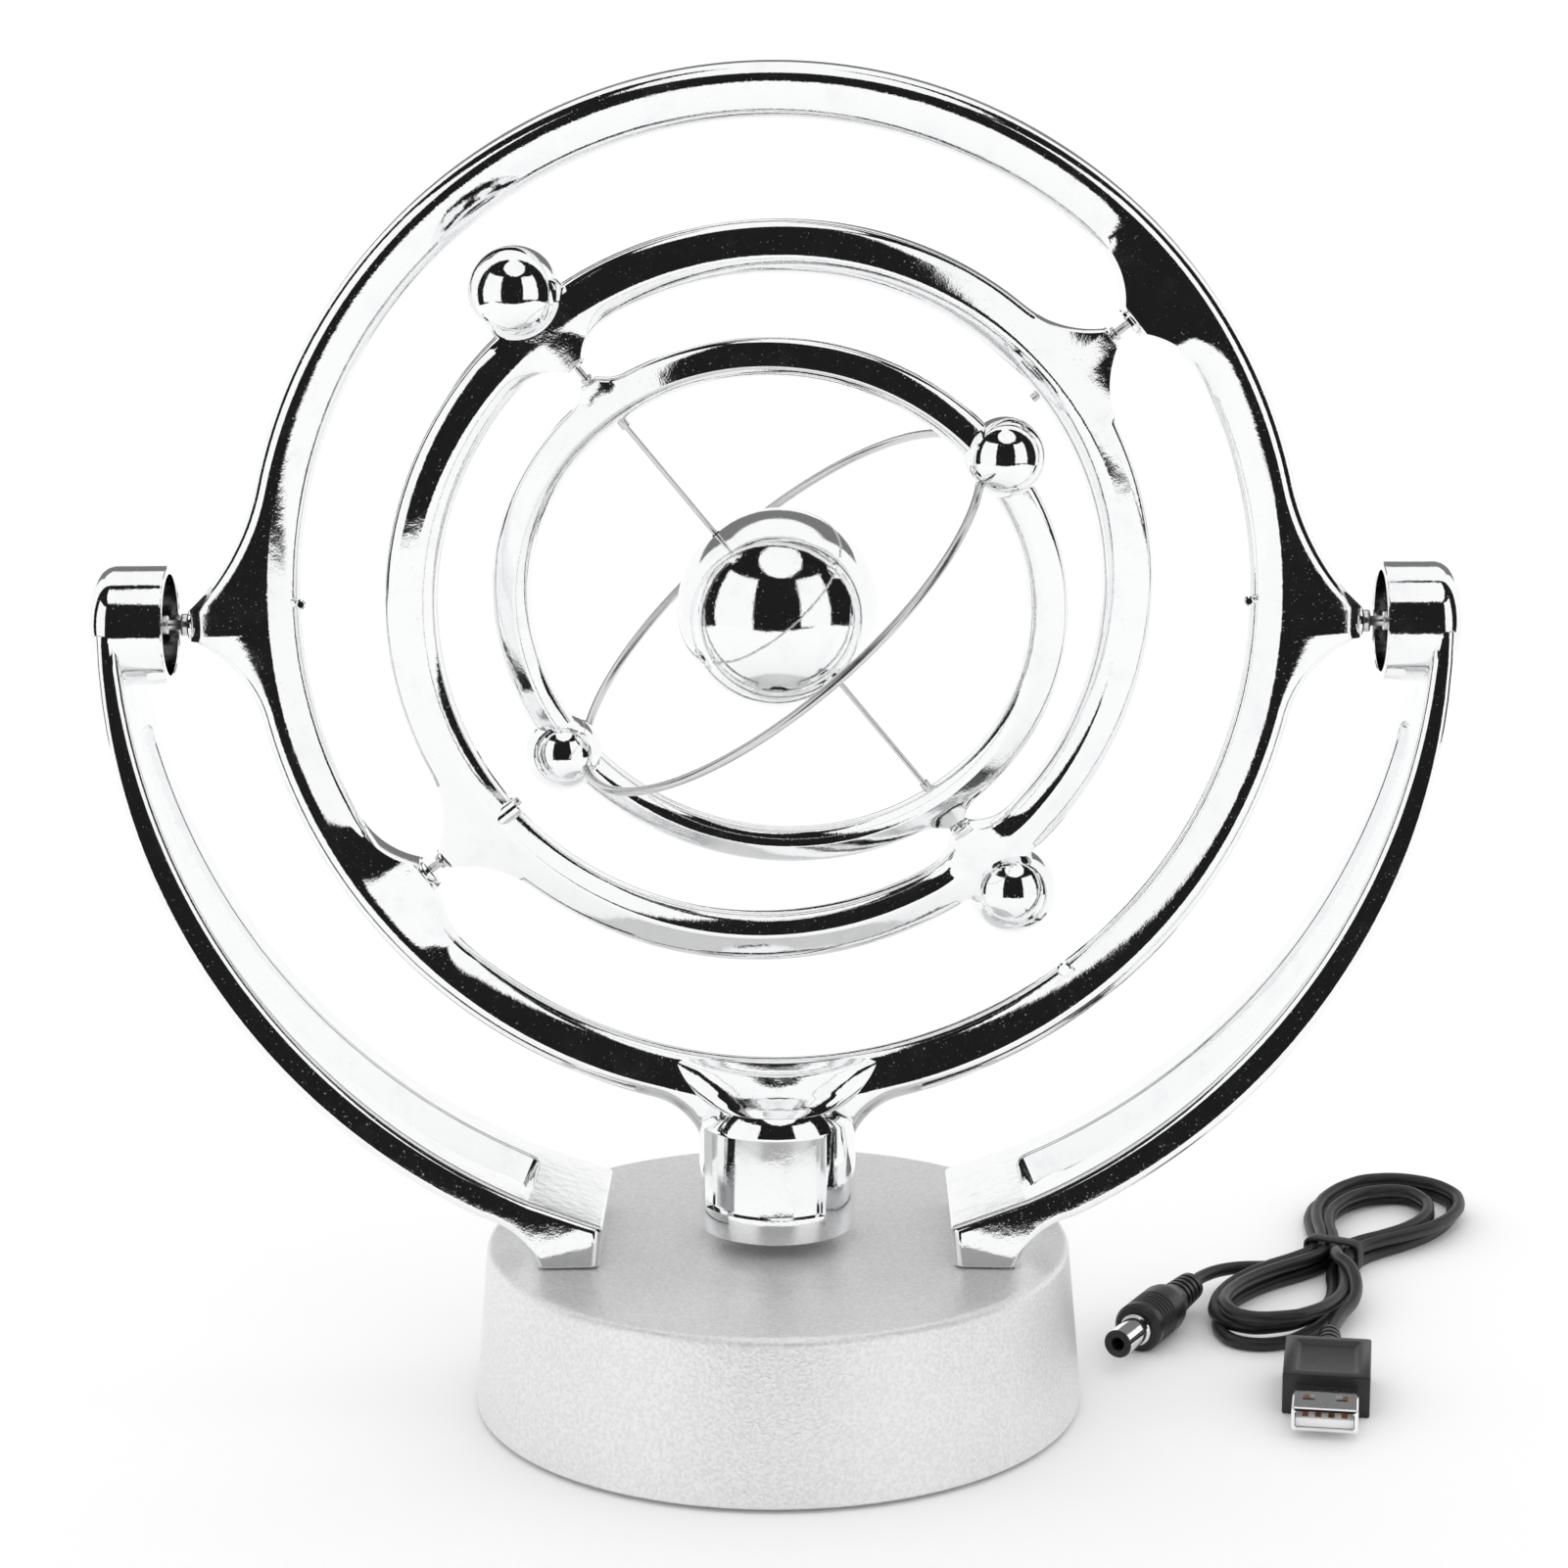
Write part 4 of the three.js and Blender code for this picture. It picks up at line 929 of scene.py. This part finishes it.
def makeWires():
    p = wirePlan
    inner = ringFrames["inner"] @ Matrix.Rotation(radians(p["tilt"]), 4, "X")
    for name, start in (("orbitWireBack", p["start"]), ("orbitWireFront", 180 + p["start"])):
        turns = [2 * pi * step / 16 for step in range(16)]
        ring = [(p["orbit"] + p["radius"] * cos(turn), p["radius"] * sin(turn)) for turn in turns]
        wire = spinProfile(name, ring, 150, "Z", start, 180 - 2 * p["start"], "steel")
        wire.data.transform(inner)
        finishPiece(wire, "inner_frame", "pin_steel", "orbit_wire_" + name[9:].lower(), angle=50)
    makePin("axleWire", "Z", pinPlan["axle"], ringFrames["inner"], "inner_frame", "axle_wire")
    deselectAll()
    bpy.ops.mesh.primitive_uv_sphere_add(segments=128, ring_count=72, radius=p["ball"] * mm)
    ball = bpy.context.object
    ball.name = "centreBall"
    bpy.ops.mesh.primitive_cylinder_add(vertices=24, radius=p["bore"] * mm, depth=0.05)
    cutAway(ball, bpy.context.object)
    ball.data.transform(ringFrames["inner"])
    ball.data.materials.clear()
    ball.data.materials.append(finishes["chrome"])
    finishPiece(ball, "centre_ball", "chrome_plate", "centre_sphere", angle=35)


makeWires()
print("pins, wires and ball made")


# ---- plugs and tie ----

plugPlan = {"place": (-62.5, 17), "body": 4.8, "usbPlace": (-46, -16, 4), "usbHeading": 199}


def leadMatrix(x, y, z, heading=0):
    return Matrix.Translation(onDesk(x, y, z)) @ Matrix.Rotation(radians(cordPlan["heading"] + heading), 4, "Z")


def makeBarrelPlug():
    p = plugPlan
    body = p["body"]
    outline = [(0, 0), (3.6, 0), (body - 0.5, 0.15), (body, 0.7), (body, 2.2)]
    for groove in range(5):
        at = 2.6 + groove * 1.25
        outline += [(body, at), (body - 0.35, at + 0.3), (body - 0.35, at + 0.55), (body, at + 0.85)]
    outline += [(body, 12.5), (body - 0.25, 13.9), (3.6, 16.4), (3.35, 17)]
    for cut in range(4):
        at = 18 + cut * 2
        outline += [(3.3 - 0.1 * cut, at), (2.0, at + 0.05), (2.0, at + 0.85), (3.25 - 0.1 * cut, at + 0.9)]
    outline += [(2.85, 26.6), (2.5, 27), (0, 27)]
    plug = spinProfile("barrelPlugBody", outline, 72, "X", finish="plug")
    plug.data.transform(leadMatrix(p["place"][0], p["place"][1], body))
    finishPiece(plug, "stand", "plug_black", "dc_plug_body", angle=30)
    tip = [(0, -0.3), (0, -2), (1.25, -2), (1.25, -9.3), (1.45, -9.5), (2.55, -9.5), (2.75, -9.2),
           (2.75, -0.9), (3.1, -0.85), (3.1, -0.3)]
    barrel = spinProfile("barrelPlugTip", tip, 64, "X")
    barrel.data.materials.append(finishes["plug"])

    def insulated(at, normal):  # the end ring and the hole's wall
        return at.x < -8.9 * mm or (hypot(at.y, at.z) < 1.3 * mm and at.x < -1.9 * mm)

    editWhere(barrel, "FACE", insulated)
    barrel.active_material_index = 1
    bpy.ops.object.material_slot_assign()
    objectMode()
    barrel.data.transform(leadMatrix(p["place"][0], p["place"][1], body))
    finishPiece(barrel, "stand", "chrome_plate", "dc_plug_barrel", angle=30)
    return [plug, barrel]


def makeUsbPlug():
    p = plugPlan
    place = leadMatrix(*p["usbPlace"], p["usbHeading"])
    deselectAll()
    bpy.ops.mesh.primitive_cube_add(size=1)
    body = bpy.context.object
    body.name = "usbPlugBody"
    movePoints(body, lambda at: Vector((12 + (at.x + 0.5) * 20, at.y * 16, at.z * 8)) * mm)
    editWhere(body, "FACE", lambda at, normal: normal.x < -0.5)
    bpy.ops.mesh.inset(thickness=0.0001)
    bpy.ops.transform.resize(value=(1, 0.52, 0.75))
    bpy.ops.transform.translate(value=(-0.0012, 0, 0))
    editWhere(body, "FACE", lambda at, normal: normal.z > 0.9)
    bpy.ops.mesh.inset(thickness=0.0024)
    bpy.ops.mesh.inset(thickness=0.0006)
    bpy.ops.transform.translate(value=(0, 0, -0.0005))
    objectMode()
    body.data.materials.append(finishes["plug"])
    bevelEdges(body, 0.7, 4, 30)
    relief = [(0, 0), (1.9, 0), (2.1, 0.3)]
    for cut in range(4):
        at = 1.6 + cut * 2.4
        relief += [(2.2 + 0.15 * cut, at), (1.75, at + 0.1), (1.75, at + 0.95), (2.3 + 0.15 * cut, at + 1.05)]
    relief += [(2.8, 11.4), (2.8, 13), (0, 13)]
    boot = spinProfile("boot", relief, 48, "X", finish="plug")
    joinPieces(body, boot)
    body.data.transform(place)
    finishPiece(body, "stand", "plug_black", "usb_plug_body", angle=30)

    deselectAll()
    bpy.ops.mesh.primitive_cube_add(size=1)
    shell = bpy.context.object
    shell.name = "usbPlugShell"
    movePoints(shell, lambda at: Vector((32.3 + (at.x + 0.5) * 12, at.y * 12, at.z * 4.5)) * mm)
    shell.data.materials.append(finishes["chrome"])
    bevelEdges(shell, 0.5, 3, 30)
    editWhere(shell, "FACE", lambda at, normal: normal.x > 0.95)
    bpy.ops.mesh.inset(thickness=0.0004)
    bpy.ops.mesh.extrude_region_move(TRANSFORM_OT_translate={"value": (-0.0108, 0, 0)})
    objectMode()
    windows = []
    for side in (-1, 1):
        bpy.ops.mesh.primitive_cube_add(size=1, location=(0.0389, side * 0.003, 0.0022),
                                        scale=(0.0025, 0.0021, 0.003))
        windows.append(settle(bpy.context.object))
    bpy.ops.mesh.primitive_cube_add(size=1, location=(0.0385, 0, -0.00225), scale=(0.013, 0.00016, 0.0003))
    windows.append(settle(bpy.context.object))
    for window in windows:
        cutAway(shell, window)
    shell.data.transform(place)
    finishPiece(shell, "stand", "chrome_plate", "usb_plug_shell", angle=30, even=True)

    deselectAll()
    bpy.ops.mesh.primitive_cube_add(size=1)
    tongue = bpy.context.object
    tongue.name = "usbPlugTongue"
    movePoints(tongue, lambda at: Vector((32.4 + (at.x + 0.5) * 11.2, at.y * 10.6, -0.75 + at.z * 1.7)) * mm)
    tongue.data.materials.append(finishes["nylon"])
    bevelEdges(tongue, 0.2, 2, 30)
    pads = []
    for index, y in enumerate((-3.5, -1.2, 1.2, 3.5)):
        bpy.ops.mesh.primitive_cube_add(size=1, location=(0.0392, y * mm, 0.00012), scale=(0.0074, 0.0011, 0.0002))
        pad = settle(bpy.context.object)
        pad.data.materials.append(finishes["copper"])
        bevelEdges(pad, 0.05, 1, 30)
        pads.append(pad)
    joinPieces(tongue, *pads)
    tongue.data.transform(place)
    finishPiece(tongue, "stand", "bobbin_nylon", "usb_plug_tongue", angle=30)
    return [body, shell, tongue]


def makeTie():
    half, low, high, wall = 6.0, 0.05, 6.6, 0.65
    deselectAll()
    bpy.ops.mesh.primitive_cylinder_add(vertices=32, radius=1, depth=1, end_fill_type="NOTHING")
    tie = bpy.context.object
    tie.name = "cordTie"

    def flatten(at):
        turn = atan2(at.y, at.x)
        wide = abs(cos(turn)) ** 0.38 * (1 if cos(turn) > 0 else -1)
        tall = abs(sin(turn)) ** 0.38 * (1 if sin(turn) > 0 else -1)
        return Vector((at.z * 3.2, wide * half, (low + high) / 2 + tall * (high - low) / 2)) * mm

    movePoints(tie, flatten)
    addModifier(tie, "SOLIDIFY", thickness=wall * mm, offset=-1)
    editAll(tie)
    bpy.ops.mesh.normals_make_consistent(inside=False)
    objectMode()
    tie.data.materials.append(finishes["tie"])
    bevelEdges(tie, 0.15, 2, 40)
    tie.data.transform(leadMatrix(0, 0, 0))
    finishPiece(tie, "stand", "tie_black", "cord_tie", angle=35)
    return tie


def finishLead():
    pieces = makeBarrelPlug() + makeUsbPlug() + [makeTie()]
    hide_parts("cord_hank", "dc_lead", "usb_lead")
    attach(powerCord, "stand")


finishLead()
print("lead finished")


# ---- finishes for the pieces that stay as they are, and the floor ----

# finish, then the nodes that wear it
dressed = [
    ("housing", ["bottom_plate", "power_jack", "hub_cap"]),
    ("rubber", ["rubber_foot_" + str(index) for index in (1, 2, 3, 4)]),
    ("screw", [kind + str(index) for kind in ("bottom_screw_", "arm_screw_") for index in (1, 2, 3, 4)]),
    ("board", ["circuit_board"]),
    ("nylon", ["coil_bobbin"]),
    ("copper", ["coil_winding"]),
    ("steel", ["coil_core"]),
    ("bearing", ["left_pivot_bearing", "right_pivot_bearing"]),
    ("nickel", ["hub_magnet"]),
]


def dressNodes():
    for finish, names in dressed:
        for name in names:
            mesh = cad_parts[name].data
            mesh.materials.clear()
            mesh.materials.append(finishes[finish])


dressNodes()


def makeFloor():
    deselectAll()
    half, front, back = studio["floor"]
    bpy.ops.mesh.primitive_plane_add(size=1, location=(0, (front + back) / 2, 0))
    floorPlane = bpy.context.object
    movePoints(floorPlane, lambda at: Vector((at.x * 2 * half, at.y * (back - front), 0)))
    settle(floorPlane)
    floorPlane.name = "studioFloor"
    f = Finish("studioFloor")
    tone = f.blend(f.noise(3, 2.0), grey(0.955), grey(0.965))
    floorPlane.data.materials.append(f.surface(Base_Color=tone, Roughness=0.9))


makeFloor()
print("dressed")
